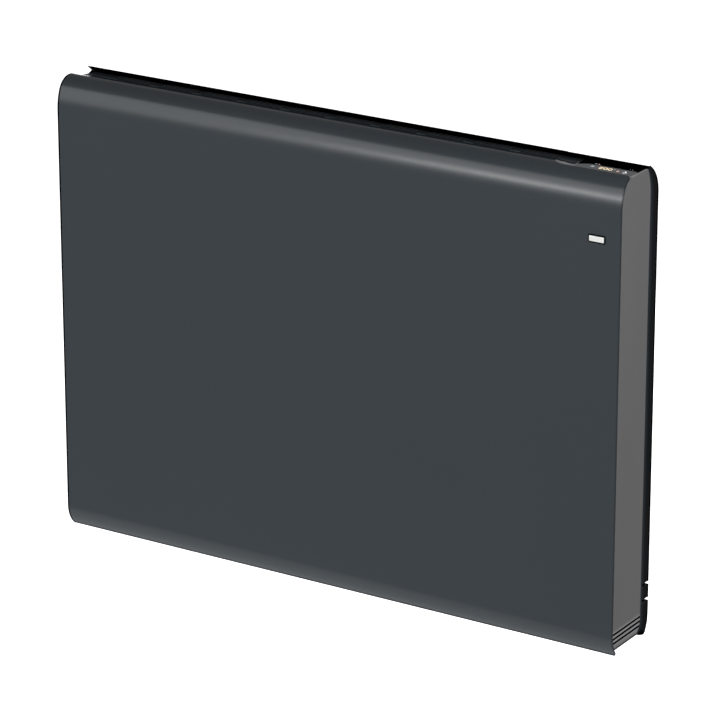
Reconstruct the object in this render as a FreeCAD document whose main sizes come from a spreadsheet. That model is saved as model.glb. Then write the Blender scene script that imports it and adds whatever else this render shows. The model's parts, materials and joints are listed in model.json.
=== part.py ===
import FreeCAD, Part
import Sketcher
import math
import os

# A slim wall-hung electric convector on its tilting wall bracket.
#
# Frame: +X to the right, +Y towards the wall, +Z up. The wall is the plane Y = 0 and the origin
# is the centre of the four wall screws. Pieces of the heater are drawn in its own measures:
# x from the middle, d backwards from the flat front, h upwards from the lowest edge of the front.

doc = FreeCAD.newDocument("wall_convector")

# Driving dimensions, in millimetres

SIZES = {
    # Whole heater
    "width": 604,
    "height": 450,
    "depth": 66.6,
    "wall_gap": 20.9,
    "skin": 1.2,
    "fit_gap": 0.2,
    # Front shell: curled chin, flat face, round shoulder, roof falling to the grille
    "chin_radius": 30,
    "chin_rise": 20.4,
    "lip_level": 0.05,
    "shoulder_radius": 50,
    "crest_radius": 17.5,
    "crest_depth": 20,
    "roof_fall": 0.36,
    "valley_radius": 28,
    "outlet_depth": 20.6,
    "cutout_width": 83,
    "cutout_depth": 17.2,
    "cutout_corner": 14,
    "roof_corner": 6,
    # Rear shell: forward-leaning lip, curled foot, side flanges, break-out tab
    "lip_radius": 31.4,
    "lip_reach": 15.9,
    "lip_rise": 0.8,
    "lip_notch": 0.7,
    "foot_radius": 11.75,
    "foot_reach": 20.6,
    "foot_lift": 3.4,
    "tab_low": 36.6,
    "tab_height": 12.6,
    "slit": 3.2,
    "slit_depth": 12.6,
    "slit_run": 16,
    # End caps
    "band_width": 14.3,
    "cap_wall": 2.5,
    "cap_reach": 16,
    "cap_lift": 8,
    "cap_drop": 1.6,
    "cap_top_lean": 5.7,
    "cap_top_radius": 53,
    "cap_foot_lean": 6.3,
    "cap_foot_radius": 19.5,
    "vent_lift": 13.2,
    "vent_pitch": 4.35,
    "vent_slot": 2,
    "seat_low": 60,
    "seat_drop": 70,
    "boss_inset": 9,
    "boss_radius": 4,
    "boss_low": 75,
    "boss_drop": 65,
    "screw_radius": 1.6,
    "screw_head": 3.4,
    "screw_head_height": 2,
    "screw_length": 14,
    # Outlet grille
    "grille_board": 3,
    "grille_tuck": 5,
    "grille_left_margin": 31.5,
    "grille_right_margin": 29,
    "grille_web": 10,
    "grille_bays": 10,
    "grille_bar": 1,
    "grille_row_margin": 1.1,
    "grille_rows": 3,
    # Inlet plate with the mains switch
    "inlet_lift": 8.8,
    "inlet_board": 1.5,
    "inlet_web": 8,
    "inlet_slot_width": 4,
    "inlet_left_margin": 5,
    "inlet_bays": 10,
    "inlet_right_margin": 43,
    "inlet_row_margin": 6,
    "inlet_rows": 4,
    "switch_inset": 52,
    "switch_d": 26,
    "switch_length": 19.2,
    "switch_width": 13,
    "switch_rim": 1.6,
    "switch_rim_height": 1.6,
    "switch_body_height": 15,
    "switch_wall": 1.2,
    "rocker_gap": 1.2,
    "rocker_side_gap": 0.25,
    "rocker_pin": 1.2,
    "rocker_pin_gap": 0.05,
    "rocker_swing": 8,
    "rocker_stand": 2.2,
    # Control unit in the roof
    "fascia_width": 60.8,
    "fascia_front": 15.2,
    "fascia_back": 31,
    "fascia_front_drop": 2.7,
    "fascia_back_drop": 0.5,
    "fascia_board": 2.2,
    "apron_drop": 8.2,
    "control_step": 0.7,
    "control_wall": 2,
    "control_base_drop": 24,
    "control_clear": 11.6,
    "control_slope": 5.6,
    "circuit_board": 1.6,
    "display_length": 44,
    "display_width": 13,
    "display_height": 4,
    "display_inset": 52,
    "key_radius": 3,
    "key_height": 6,
    "key_pitch": 14,
    "key_inset": 53,
    "key_count": 4,
    "badge_inset": 32,
    "badge_drop": 59.8,
    "badge_length": 15,
    "badge_height": 5.8,
    "badge_proud": 0.8,
    # Heating chamber
    "bay_width": 88,
    "partition_foot": 8,
    "element_lift": 118,
    "fin_gap": 3.3,
    "element_inset": 32,
    "element_tube": 9,
    "fin_height": 84,
    "fin_depth": 46,
    "fin_notch": 11,
    "fin_board": 1,
    "fin_margin": 21.5,
    "fin_count": 35,
    "rod_radius": 4,
    "rod_overhang": 24,
    "bush_radius": 8,
    "bush_length": 10,
    "bush_step": 7,
    "hanger_board": 1.5,
    "hanger_half": 22,
    "hanger_foot": 12,
    "shield_board": 0.8,
    "shield_offset": 7,
    "shield_low": 52,
    "shield_high": 300,
    "shield_lip": 8,
    "cutout_switch_x": 60,
    "cutout_switch_lift": 214,
    "cutout_switch_radius": 8,
    "cutout_switch_height": 7,
    "cutout_arm": 22,
    # Electronics bay
    "board_inset": 8,
    "board_length": 58,
    "board_low": 150,
    "board_height": 150,
    "pillar_radius": 3,
    "pillar_height": 9,
    "pillar_inset": 5,
    "sink_length": 30,
    "sink_height": 46,
    "sink_base": 3,
    "sink_fin": 14,
    "sink_fin_board": 1.6,
    "sink_fin_count": 6,
    "relay_length": 19,
    "relay_height": 28,
    "relay_depth": 15,
    "choke_radius": 11,
    "choke_height": 13,
    "choke_bore": 5,
    "terminal_pitch": 11,
    "terminal_poles": 4,
    "terminal_height": 20,
    "terminal_depth": 17,
    "terminal_lift": 92,
    "terminal_inset": 12,
    "terminal_screw": 2.4,
    "gland_inset": 50,
    "gland_lift": 43,
    "gland_bore": 4.5,
    "gland_radius": 8,
    "gland_nut": 12,
    "gland_nut_height": 5,
    "gland_reach": 9,
    "sensor_lift": 17.5,
    "sensor_depth": 27,
    "sensor_radius": 2.5,
    "sensor_length": 9,
    "sensor_arm": 14,
    "earth_inset": 18,
    "earth_lift": 66,
    "earth_radius": 2.5,
    "earth_length": 16,
    "earth_nut": 4.6,
    "earth_nut_height": 3.2,
    # Wall bracket, hinge and locks
    "bracket_board": 2,
    "bracket_half": 160,
    "bracket_top_drop": 39,
    "bracket_foot_lift": 23,
    "bracket_flange": 9,
    "window_half": 104,
    "window_top": 108,
    "window_bottom": 116,
    "wall_screw_x": 260,
    "wall_screw_z": 280,
    "wall_slot_width": 7,
    "wall_slot_length": 14,
    "hinge_lift": 40,
    "hinge_gap": 11,
    "hinge_radius": 3,
    "hinge_play": 0.08,
    "hinge_x": 138,
    "hinge_pin_length": 16,
    "ear_board": 3,
    "ear_half": 13,
    "ear_front": 5,
    "hook_board": 3,
    "hook_space": 1,
    "hook_back": 6,
    "hook_top": 17,
    "hook_mouth": 7,
    "hook_foot_width": 18,
    "lock_x": 100,
    "lock_drop": 65,
    "lock_board": 2,
    "lock_offset": 3,
    "lock_boss": 8,
    "lock_stud": 3,
    "lock_stud_head": 5.5,
    "lock_stud_head_height": 1.6,
    "lock_play": 0.06,
    "lock_nose": 36,
    "lock_handle": 42,
    "lock_half_width": 4,
    "lock_swing": 35,
    "keeper_board": 1.4,
    "keeper_width": 16,
    "keeper_height": 12,
    "keeper_foot": 10,
    "keeper_play": 0.5,
    "buffer_radius": 8,
    "buffer_z": 60,
    "buffer_x": 132,
    "buffer_play": 0.3,
}

sheet = doc.addObject("Spreadsheet::Sheet", "Sizes")
for row, (alias, number) in enumerate(SIZES.items(), start=1):
    sheet.set(f"A{row}", alias)
    sheet.set(f"B{row}", str(number))
    sheet.setAlias(f"B{row}", alias)
doc.recompute()


class Size:
    """A number together with the sheet formula that gives it."""

    def __init__(self, value, formula):
        self.value = float(value)
        self.formula = formula

    def __add__(self, other):
        other = as_size(other)
        return Size(self.value + other.value, f"({self.formula} + {other.formula})")

    def __sub__(self, other):
        other = as_size(other)
        return Size(self.value - other.value, f"({self.formula} - {other.formula})")

    def __mul__(self, other):
        other = as_size(other)
        return Size(self.value * other.value, f"({self.formula} * {other.formula})")

    def __truediv__(self, other):
        other = as_size(other)
        return Size(self.value / other.value, f"({self.formula} / {other.formula})")

    def __radd__(self, other):
        return as_size(other) + self

    def __rsub__(self, other):
        return as_size(other) - self

    def __rmul__(self, other):
        return as_size(other) * self

    def __neg__(self):
        return Size(-self.value, f"(0 - {self.formula})")


def as_size(item):
    if isinstance(item, Size):
        return item
    return Size(item, repr(float(item)))


def root(item):
    return Size(math.sqrt(item.value), f"sqrt({item.formula})")


def sine(item):
    return Size(math.sin(math.radians(item.value)), f"sin({item.formula})")


def cosine(item):
    return Size(math.cos(math.radians(item.value)), f"cos({item.formula})")


class SheetSizes:
    """The sheet's cells by name, each as a Size."""

    def __getattr__(self, alias):
        return Size(sheet.get(alias), f"Sizes.{alias}")


S = SheetSizes()

# From the heater's own measures to the frame

FRONT_Y = -(S.depth + S.wall_gap)
BASE_Z = -(S.height / 2)
HALF = S.width / 2
BACK_Y = -S.wall_gap

# Places that follow from the overall sizes

CAP_DEPTH = S.depth - S.band_width
CAP_TOP_D = CAP_DEPTH - S.cap_top_lean
CAP_FOOT_D = CAP_DEPTH - S.cap_foot_lean
SEAT_TOP = S.height - S.seat_drop
BOSS_TOP = S.height - S.boss_drop
CUTOUT_LEFT = HALF - S.cutout_width
FASCIA_LEFT = HALF - S.fascia_width
GRILLE_END = FASCIA_LEFT - S.fit_gap
CONTROL_LEFT = FASCIA_LEFT + S.control_step
CONTROL_BACK = S.depth - S.control_clear
CONTROL_SHOULDER = CONTROL_BACK - S.control_slope
CONTROL_BASE = S.height - S.control_base_drop
DISPLAY_LEFT = HALF - S.display_inset
KEY_FIRST = HALF - S.key_inset
BADGE_LEFT = HALF - S.badge_inset
BADGE_H = S.height - S.badge_drop
PARTITION_X = HALF - S.bay_width
SHIELD_D = S.depth - S.skin - S.shield_offset
ELEMENT_D = SHIELD_D - S.fin_gap - S.fin_depth / 2
ELEMENT_LEFT = S.element_inset - HALF
ELEMENT_LENGTH = PARTITION_X - S.element_inset - ELEMENT_LEFT
FIN_PITCH = (ELEMENT_LENGTH - S.fin_board - 2 * S.fin_margin) / (S.fin_count - 1)
BOARD_LEFT = PARTITION_X + S.board_inset
TERMINAL_LEFT = PARTITION_X + S.terminal_inset
EARTH_X = PARTITION_X + S.earth_inset
GLAND_X = HALF - S.gland_inset
SWITCH_X = HALF - S.switch_inset
LOCK_Z = S.height / 2 - S.lock_drop
BRACKET_TOP = S.height / 2 - S.bracket_top_drop
BRACKET_FOOT = S.height / 2 - S.bracket_foot_lift


def y_at(d):
    return FRONT_Y + d


def z_at(h):
    return BASE_Z + h


# Sketches, features and primitives whose sizes are bound to the sheet


def bind(obj, prop, size):
    obj.setExpression(prop, as_size(size).formula)


def new_body(label):
    body = doc.addObject("PartDesign::Body", label)
    body.Label = label
    return body


def origin_feature(body, role):
    return next(item for item in body.Origin.OriginFeatures if item.Role == role)


def new_sketch(body, role, base):
    """A sketch on one of the body's origin planes, moved by base along the plane's own axes."""
    sketch = body.newObject("Sketcher::SketchObject", f"{body.Name}_sketch")
    sketch.AttachmentSupport = [(origin_feature(body, role), "")]
    sketch.MapMode = "FlatFace"
    for axis, size in zip("xyz", base):
        bind(sketch, f"AttachmentOffset.Base.{axis}", size)
    return sketch


def side_sketch(body, x=0):
    """Drawn in (d, h), looking along -X; a pad grows towards +X."""
    return new_sketch(body, "YZ_Plane", (FRONT_Y, BASE_Z, x))


def top_sketch(body, h):
    """Drawn in (x, d), looking down; a pad grows upwards, a pocket cuts downwards."""
    return new_sketch(body, "XY_Plane", (0, FRONT_Y, z_at(h)))


def front_sketch(body, d):
    """Drawn in (x, h), looking along +Y; a pad grows towards the front."""
    return new_sketch(body, "XZ_Plane", (0, BASE_Z, -y_at(d)))


def wall_sketch(body, y):
    """Drawn in the frame's (x, z), looking along +Y; a pad grows towards the front."""
    return new_sketch(body, "XZ_Plane", (0, 0, -as_size(y)))


def run_geometry(start, end, radius, turn):
    """A straight run, or an arc that curves to the given side on its way from start to end."""
    first = FreeCAD.Vector(start[0].value, start[1].value, 0)
    last = FreeCAD.Vector(end[0].value, end[1].value, 0)
    if radius is None:
        return Part.LineSegment(first, last)
    chord = last - first
    rise = math.sqrt(radius.value**2 - (chord.Length / 2) ** 2)
    left = FreeCAD.Vector(-chord.y, chord.x, 0).normalize()
    centre = (first + last) / 2 + left * (rise if turn == "left" else -rise)
    ends = [math.atan2(p.y - centre.y, p.x - centre.x) for p in (first, last)]
    if turn == "right":
        ends.reverse()
    circle = Part.Circle(centre, FreeCAD.Vector(0, 0, 1), radius.value)
    return Part.ArcOfCircle(circle, ends[0], ends[1])


def pin_point(sketch, geometry, end, point):
    """Fix one end of a sketch element at a point measured from the sketch's origin."""
    for kind, size in zip(("DistanceX", "DistanceY"), point):
        index = sketch.addConstraint(Sketcher.Constraint(kind, -1, 1, geometry, end, size.value))
        bind(sketch, f"Constraints[{index}]", size)


def outline(sketch, points):
    """Close an outline through points (a, b), or (a, b, radius, turn) where an arc arrives."""
    corners = [(as_size(p[0]), as_size(p[1])) for p in points]
    arcs = [(as_size(p[2]), p[3]) if len(p) > 2 else (None, None) for p in points]
    count = len(points)
    first = sketch.GeometryCount
    for i in range(count):
        radius, turn = arcs[(i + 1) % count]
        sketch.addGeometry(run_geometry(corners[i], corners[(i + 1) % count], radius, turn))
    begins = [2 if arcs[(i + 1) % count][1] == "right" else 1 for i in range(count)]
    for i in range(count):
        after = (i + 1) % count
        sketch.addConstraint(
            Sketcher.Constraint("Coincident", first + i, 3 - begins[i], first + after, begins[after])
        )
    for i in range(count):
        pin_point(sketch, first + i, begins[i], corners[i])
        radius = arcs[(i + 1) % count][0]
        if radius is not None:
            index = sketch.addConstraint(Sketcher.Constraint("Radius", first + i, radius.value))
            bind(sketch, f"Constraints[{index}]", radius)
    return sketch


def rectangle(sketch, low, high):
    return outline(sketch, [low, (high[0], low[1]), high, (low[0], high[1])])


def circle(sketch, centre, radius):
    centre = (as_size(centre[0]), as_size(centre[1]))
    radius = as_size(radius)
    point = FreeCAD.Vector(centre[0].value, centre[1].value, 0)
    index = sketch.addGeometry(Part.Circle(point, FreeCAD.Vector(0, 0, 1), radius.value))
    constraint = sketch.addConstraint(Sketcher.Constraint("Radius", index, radius.value))
    bind(sketch, f"Constraints[{constraint}]", radius)
    pin_point(sketch, index, 3, centre)
    return sketch


def feature(body, kind, sketch, length, reverse, both_ways):
    item = body.newObject(f"PartDesign::{kind}", f"{body.Name}_{kind.lower()}")
    item.Profile = sketch
    bind(item, "Length", length)
    item.Reversed = reverse
    item.SideType = "Symmetric" if both_ways else "One side"
    sketch.Visibility = False
    return item


def pad(body, sketch, length, reverse=False, both_ways=False):
    return feature(body, "Pad", sketch, length, reverse, both_ways)


def pocket(body, sketch, length, reverse=False, both_ways=False):
    return feature(body, "Pocket", sketch, length, reverse, both_ways)


def row_of(body, original, axis, pitch, count, axis_2=None, pitch_2=0, count_2=1):
    """Repeat a feature along one of the body's axes, or along two."""
    pattern = body.newObject("PartDesign::LinearPattern", f"{body.Name}_row")
    pattern.Originals = [original]
    pattern.Direction = (origin_feature(body, axis), [""])
    bind(pattern, "Length", as_size(pitch) * (as_size(count) - 1))
    bind(pattern, "Occurrences", count)
    if axis_2 is not None:
        pattern.Direction2 = (origin_feature(body, axis_2), [""])
        bind(pattern, "Length2", as_size(pitch_2) * (as_size(count_2) - 1))
        bind(pattern, "Occurrences2", count_2)
    body.Tip = pattern
    return pattern


def block(label, low, size):
    """A box from its lowest corner, in the frame."""
    item = doc.addObject("Part::Box", label)
    for prop, length in zip(("Length", "Width", "Height"), size):
        bind(item, prop, length)
    for axis, place in zip("xyz", low):
        bind(item, f"Placement.Base.{axis}", place)
    return item


TURN_TO = {
    "+X": FreeCAD.Rotation(FreeCAD.Vector(0, 1, 0), 90),
    "-X": FreeCAD.Rotation(FreeCAD.Vector(0, 1, 0), -90),
    "+Y": FreeCAD.Rotation(FreeCAD.Vector(1, 0, 0), -90),
    "-Y": FreeCAD.Rotation(FreeCAD.Vector(1, 0, 0), 90),
    "+Z": FreeCAD.Rotation(),
    "-Z": FreeCAD.Rotation(FreeCAD.Vector(1, 0, 0), 180),
}


def rod(label, start, radius, length, direction):
    """A cylinder from the middle of its first end face, along one of the frame's directions."""
    item = doc.addObject("Part::Cylinder", label)
    bind(item, "Radius", radius)
    bind(item, "Height", length)
    item.Placement.Rotation = TURN_TO[direction]
    for axis, place in zip("xyz", start):
        bind(item, f"Placement.Base.{axis}", place)
    return item


def joined(label, pieces):
    item = doc.addObject("Part::MultiFuse", label)
    item.Shapes = pieces
    return item


def cut(label, base, tools):
    item = doc.addObject("Part::Cut", label)
    item.Base = base
    item.Tool = tools[0] if len(tools) == 1 else joined(f"{label}_tools", tools)
    return item


def group(label, pieces):
    """Separate solids of the same kind that share one node."""
    item = doc.addObject("Part::Compound", label)
    item.Links = pieces
    return item


# Outlines that several pieces share


def chin_point(rise, inset):
    """Where the chin's curl, drawn inwards by inset, has the given height."""
    fall = S.chin_rise - rise
    inner = S.chin_radius - inset
    return S.chin_radius - root(inner * inner - fall * fall)


CREST_H = S.height - S.crest_radius
SHOULDER_H = CREST_H - root(
    (S.shoulder_radius - S.crest_radius) * (S.shoulder_radius - S.crest_radius)
    - (S.shoulder_radius - S.crest_depth) * (S.shoulder_radius - S.crest_depth)
)
ROOF_LENGTH = root(1 + S.roof_fall * S.roof_fall)


def shoulder_end(inset):
    """The point where the wide shoulder arc meets the tight crest arc."""
    share = (S.crest_radius - inset) / (S.shoulder_radius - S.crest_radius)
    return (
        S.crest_depth - (S.shoulder_radius - S.crest_depth) * share,
        CREST_H + (CREST_H - SHOULDER_H) * share,
    )


def roof_start(inset):
    """The point where the crest arc runs out into the falling roof."""
    radius = S.crest_radius - inset
    return (S.crest_depth + radius * S.roof_fall / ROOF_LENGTH, CREST_H + radius / ROOF_LENGTH)


ROOF_END = S.depth - S.outlet_depth
ROOF_BEND = S.valley_radius * (ROOF_LENGTH - 1) / S.roof_fall
VALLEY_TOP = roof_start(0)[1] - (ROOF_END - ROOF_BEND - roof_start(0)[0]) * S.roof_fall


def valley_start(inset):
    """The point where the falling roof begins to level out towards its rear edge."""
    radius = S.valley_radius + inset
    return (
        ROOF_END - radius * S.roof_fall / ROOF_LENGTH,
        VALLEY_TOP + S.valley_radius - radius / ROOF_LENGTH,
    )


def front_run(inset, low):
    """The front's side profile, from the chin at height low up and over to the roof's rear edge."""
    crest = shoulder_end(inset)
    roof = roof_start(inset)
    valley = valley_start(inset)
    return [
        (chin_point(low, inset), low),
        (inset + 0, S.chin_rise, S.chin_radius - inset, "right"),
        (inset + 0, SHOULDER_H),
        (crest[0], crest[1], S.shoulder_radius - inset, "right"),
        (roof[0], roof[1], S.crest_radius - inset, "right"),
        valley,
        (ROOF_END, VALLEY_TOP - inset, S.valley_radius + inset, "left"),
    ]


def turned_back(run):
    """The same run drawn from its other end, with its arcs curving the other way."""
    places = [point[:2] for point in reversed(run)]
    arrivals = [point[2:] for point in reversed(run)]
    opposite = {"left": "right", "right": "left"}
    turned = [places[0]]
    for place, arrival in zip(places[1:], arrivals[:-1]):
        arc = (arrival[0], opposite[arrival[1]]) if arrival else ()
        turned.append(place + arc)
    return turned


LIP_TOP = S.height + S.lip_rise
LIP_CENTRE_D = S.depth - S.lip_radius
LIP_CENTRE_H = LIP_TOP - root(
    S.lip_radius * S.lip_radius
    - (S.lip_radius - S.lip_reach) * (S.lip_radius - S.lip_reach)
)
FOOT_CENTRE_D = S.depth - S.foot_radius
FOOT_CENTRE_H = S.foot_lift + S.foot_radius


def lip_tip(inset):
    """The upper end of the rear shell's lip, drawn inwards by inset."""
    share = (S.lip_radius - inset) / S.lip_radius
    return (
        LIP_CENTRE_D + (S.lip_radius - S.lip_reach) * share,
        LIP_CENTRE_H + (LIP_TOP - LIP_CENTRE_H) * share,
    )


def foot_end(inset):
    """The front end of the rear shell's curled foot, drawn inwards by inset."""
    back = S.foot_reach - S.foot_radius
    share = (S.foot_radius - inset) / S.foot_radius
    fall = root(S.foot_radius * S.foot_radius - back * back)
    return (FOOT_CENTRE_D - back * share, FOOT_CENTRE_H - fall * share)


def rear_run(inset):
    """The rear shell's side profile, from the curled foot round the back to the lip."""
    foot = foot_end(inset)
    tip = lip_tip(inset)
    radius = S.foot_radius - inset
    return [
        foot,
        (FOOT_CENTRE_D, FOOT_CENTRE_H - radius, radius, "left"),
        (S.depth - inset, FOOT_CENTRE_H, radius, "left"),
        (S.depth - inset, LIP_CENTRE_H),
        (tip[0], tip[1], S.lip_radius - inset, "left"),
    ]


def arc_drop(radius, reach):
    """How far an arc that starts upright runs while it leans over by reach."""
    return root(radius * radius - (radius - reach) * (radius - reach))


CAP_TOP = S.height - S.cap_drop
CAP_TOP_BEND = CAP_TOP - arc_drop(S.cap_top_radius, CAP_DEPTH - CAP_TOP_D)
CAP_FOOT_BEND = S.cap_lift + arc_drop(S.cap_foot_radius, CAP_DEPTH - CAP_FOOT_D)


def cap_back_run(inset, top):
    """The rear edge of an end cap's face, from its foot up to the height top."""
    depth = CAP_DEPTH - inset
    foot = S.cap_foot_radius - inset
    lean = foot - root(foot * foot - (CAP_FOOT_BEND - S.cap_lift) * (CAP_FOOT_BEND - S.cap_lift))
    head = S.cap_top_radius - inset
    top_lean = head - root(head * head - (top - CAP_TOP_BEND) * (top - CAP_TOP_BEND))
    return [
        (depth - lean, S.cap_lift),
        (depth, CAP_FOOT_BEND, foot, "left"),
        (depth, CAP_TOP_BEND),
        (depth - top_lean, top, head, "left"),
    ]


# Casing


def front_shell():
    """One bent steel sheet: curled chin, flat face, shoulder and roof, notched for the controls."""
    body = new_body("front_shell")
    outer = front_run(as_size(0), S.lip_level)
    inner = front_run(S.skin, S.lip_level)
    pad(body, outline(side_sketch(body), outer + turned_back(inner)), S.width, both_ways=True)
    left = CUTOUT_LEFT
    front = S.cutout_depth
    corner = S.cutout_corner
    past = ROOF_END + S.skin
    notch = [
        (left, past),
        (left, front + corner),
        (left + corner, front, corner, "left"),
        (HALF - S.roof_corner, front),
        (HALF, front - S.roof_corner, S.roof_corner, "right"),
        (HALF + S.skin, front - S.roof_corner),
        (HALF + S.skin, past),
    ]
    deep = S.crest_radius
    pocket(body, outline(top_sketch(body, S.height + S.skin), notch), deep)
    return body


def flange_outline(top):
    """The rear shell's side flange, between its own outline and the end cap's face."""
    clear = as_size(0) - S.fit_gap
    inner = cap_back_run(clear, top)
    outer = rear_run(as_size(0))
    return outer + turned_back(inner)


def left_flange_outline():
    """The left flange stops level with the grille, so that the outlet is open at that end."""
    clear = as_size(0) - S.fit_gap
    level = VALLEY_TOP - S.fit_gap
    radius = S.lip_radius
    lean = radius - root(radius * radius - (level - LIP_CENTRE_H) * (level - LIP_CENTRE_H))
    outer = rear_run(as_size(0))[:4] + [(S.depth - lean, level, radius, "left")]
    return outer + turned_back(cap_back_run(clear, level))


def rear_shell():
    """One sheet with a forward-leaning lip, a curled foot, side flanges and a break-out tab."""
    body = new_body("rear_shell")
    profile = rear_run(as_size(0)) + turned_back(rear_run(S.skin))
    pad(body, outline(side_sketch(body), profile), S.width, both_ways=True)
    pad(body, outline(side_sketch(body, HALF), flange_outline(CAP_TOP)), S.skin, reverse=True)
    pad(body, outline(side_sketch(body, -HALF), left_flange_outline()), S.skin)
    back = S.depth + S.skin
    slits = side_sketch(body, HALF)
    low = S.tab_low
    rectangle(slits, (back - S.slit_depth, low - S.slit), (back, low))
    high = S.tab_low + S.tab_height
    rectangle(slits, (back - S.slit_depth, high), (back, high + S.slit))
    pocket(body, slits, S.slit_run)
    trim = side_sketch(body, HALF)
    level = LIP_TOP - S.lip_notch
    rectangle(trim, (LIP_CENTRE_D, level), (S.depth, LIP_TOP + S.skin))
    pocket(body, trim, HALF - CUTOUT_LEFT)
    holes = front_sketch(body, S.depth - 2 * S.skin)
    for x in (boss_x(-1), boss_x(1)):
        for h in boss_heights():
            circle(holes, (x, h), S.screw_radius + S.fit_gap)
    circle(holes, (GLAND_X, S.gland_lift), S.gland_radius + S.fit_gap)
    circle(holes, (EARTH_X, S.earth_lift), S.earth_radius + S.fit_gap)
    pocket(body, holes, 4 * S.skin)
    return body


def boss_x(side):
    return side * (HALF - S.boss_inset)


def boss_heights():
    return [S.boss_low, (S.boss_low + BOSS_TOP) / 2, BOSS_TOP]


def end_cap(label, side, face_run, pocket_run, vents):
    """A moulded end cap: a flat face with a rim behind it and screw bosses on its back wall."""
    body = new_body(label)
    outward = side * HALF
    pad(body, outline(side_sketch(body, outward), face_run), S.cap_reach, reverse=side > 0)
    inner_face = side * (HALF - S.cap_wall)
    hollow = outline(side_sketch(body, inner_face), pocket_run)
    pocket(body, hollow, S.cap_reach, reverse=side < 0)
    bosses = front_sketch(body, S.depth - S.skin)
    for h in boss_heights():
        circle(bosses, (boss_x(side), h), S.boss_radius)
    pad(body, bosses, S.depth - S.skin - CAP_DEPTH + S.cap_wall)
    pilots = front_sketch(body, S.depth - S.skin)
    for h in boss_heights():
        circle(pilots, (boss_x(side), h), S.screw_radius + S.fit_gap / 2)
    pocket(body, pilots, S.screw_length, reverse=True)
    if vents:
        slot = side_sketch(body, outward)
        low = S.vent_lift - S.vent_slot / 2
        rectangle(slot, (S.skin, low), (CAP_DEPTH + S.skin, low + S.vent_slot))
        first = pocket(body, slot, S.cap_wall)
        row_of(body, first, "Z_Axis", S.vent_pitch, as_size(3))
    return body


def cap_front_run(inset, low):
    """The cap's outline under the front shell, clear of its bends by the fit gap."""
    return front_run(S.skin + S.fit_gap + inset, low)


def cap_hollow(rim_top):
    """The space inside a cap's rim; above rim_top the cap is a bare face with no rim behind it."""
    wall = S.cap_wall
    inner = S.skin + S.fit_gap + wall
    over = S.height + wall
    return cap_front_run(wall, S.cap_lift + wall)[:3] + [
        (inner, over),
        (S.depth, over),
        (S.depth, rim_top),
        (CAP_DEPTH - wall, rim_top),
        (CAP_DEPTH - wall, CAP_FOOT_BEND),
        (CAP_FOOT_D - wall, S.cap_lift + wall, S.cap_foot_radius, "right"),
    ]


def seated(run):
    """The same outline, touching the front shell's flat face along a straight seat."""
    clear = S.skin + S.fit_gap
    seat = [
        (clear, S.seat_low),
        (S.skin, S.seat_low),
        (S.skin, SEAT_TOP),
        (clear, SEAT_TOP),
    ]
    return run[:2] + seat + run[2:]


def right_end_cap():
    """The right cap rises to the crest behind the controls and has the room sensor's vents."""
    clear = S.skin + S.fit_gap
    crest = shoulder_end(clear)
    reach = S.crest_radius - clear
    meet = S.crest_depth - root(reach * reach - (CAP_TOP - CREST_H) * (CAP_TOP - CREST_H))
    front = seated(cap_front_run(as_size(0), S.cap_lift)[:4])
    front.append((meet, CAP_TOP, reach, "right"))
    face = front + turned_back(cap_back_run(as_size(0), CAP_TOP))
    hollow = cap_hollow(CONTROL_BASE - S.fit_gap)
    if crest[0].value > meet.value:
        raise ValueError("the right cap's top is below the shoulder's end")
    return end_cap("right_end_cap", 1, face, hollow, vents=True)


def left_end_cap():
    """The left cap follows the roof down to the grille's level."""
    clear = S.skin + S.fit_gap
    level = VALLEY_TOP - S.fit_gap
    front = seated(cap_front_run(as_size(0), S.cap_lift))
    edge = ROOF_END + S.fit_gap
    step = [(edge, VALLEY_TOP - clear), (edge, level)]
    face = front + step + turned_back(cap_back_run(as_size(0), level))
    hollow = cap_hollow(VALLEY_TOP - S.grille_board - S.fit_gap)
    return end_cap("left_end_cap", -1, face, hollow, vents=False)


def outlet_grille():
    """The slotted air outlet between the roof's rear edge and the rear lip."""
    body = new_body("outlet_grille")
    top = VALLEY_TOP
    base = top - S.grille_board
    front = ROOF_END + S.fit_gap
    tuck = front - S.grille_tuck
    under = VALLEY_TOP - S.skin - S.fit_gap
    reach = S.lip_radius - S.skin - S.fit_gap
    back_top = LIP_CENTRE_D + root(reach * reach - (top - LIP_CENTRE_H) * (top - LIP_CENTRE_H))
    profile = [
        (tuck, base),
        (back_top, base),
        (back_top, top),
        (front, top),
        (front, under),
        (tuck, under),
    ]
    left = S.cap_wall - HALF
    pad(body, outline(side_sketch(body, left), profile), GRILLE_END - left)
    slots_left = left + S.grille_left_margin
    slots_right = GRILLE_END - S.grille_right_margin
    pitch = (slots_right - slots_left + S.grille_web) / S.grille_bays
    row_front = front + S.grille_row_margin
    row_back = back_top - S.grille_row_margin
    bars = (S.grille_rows - 1) * S.grille_bar
    slot_width = (row_back - row_front - bars) / S.grille_rows
    slot = top_sketch(body, top)
    rectangle(
        slot,
        (slots_left, row_front),
        (slots_left + pitch - S.grille_web, row_front + slot_width),
    )
    first = pocket(body, slot, 2 * S.grille_board)
    row_pitch = slot_width + S.grille_bar
    row_of(body, first, "X_Axis", pitch, S.grille_bays, "Y_Axis", row_pitch, S.grille_rows)
    return body


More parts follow.
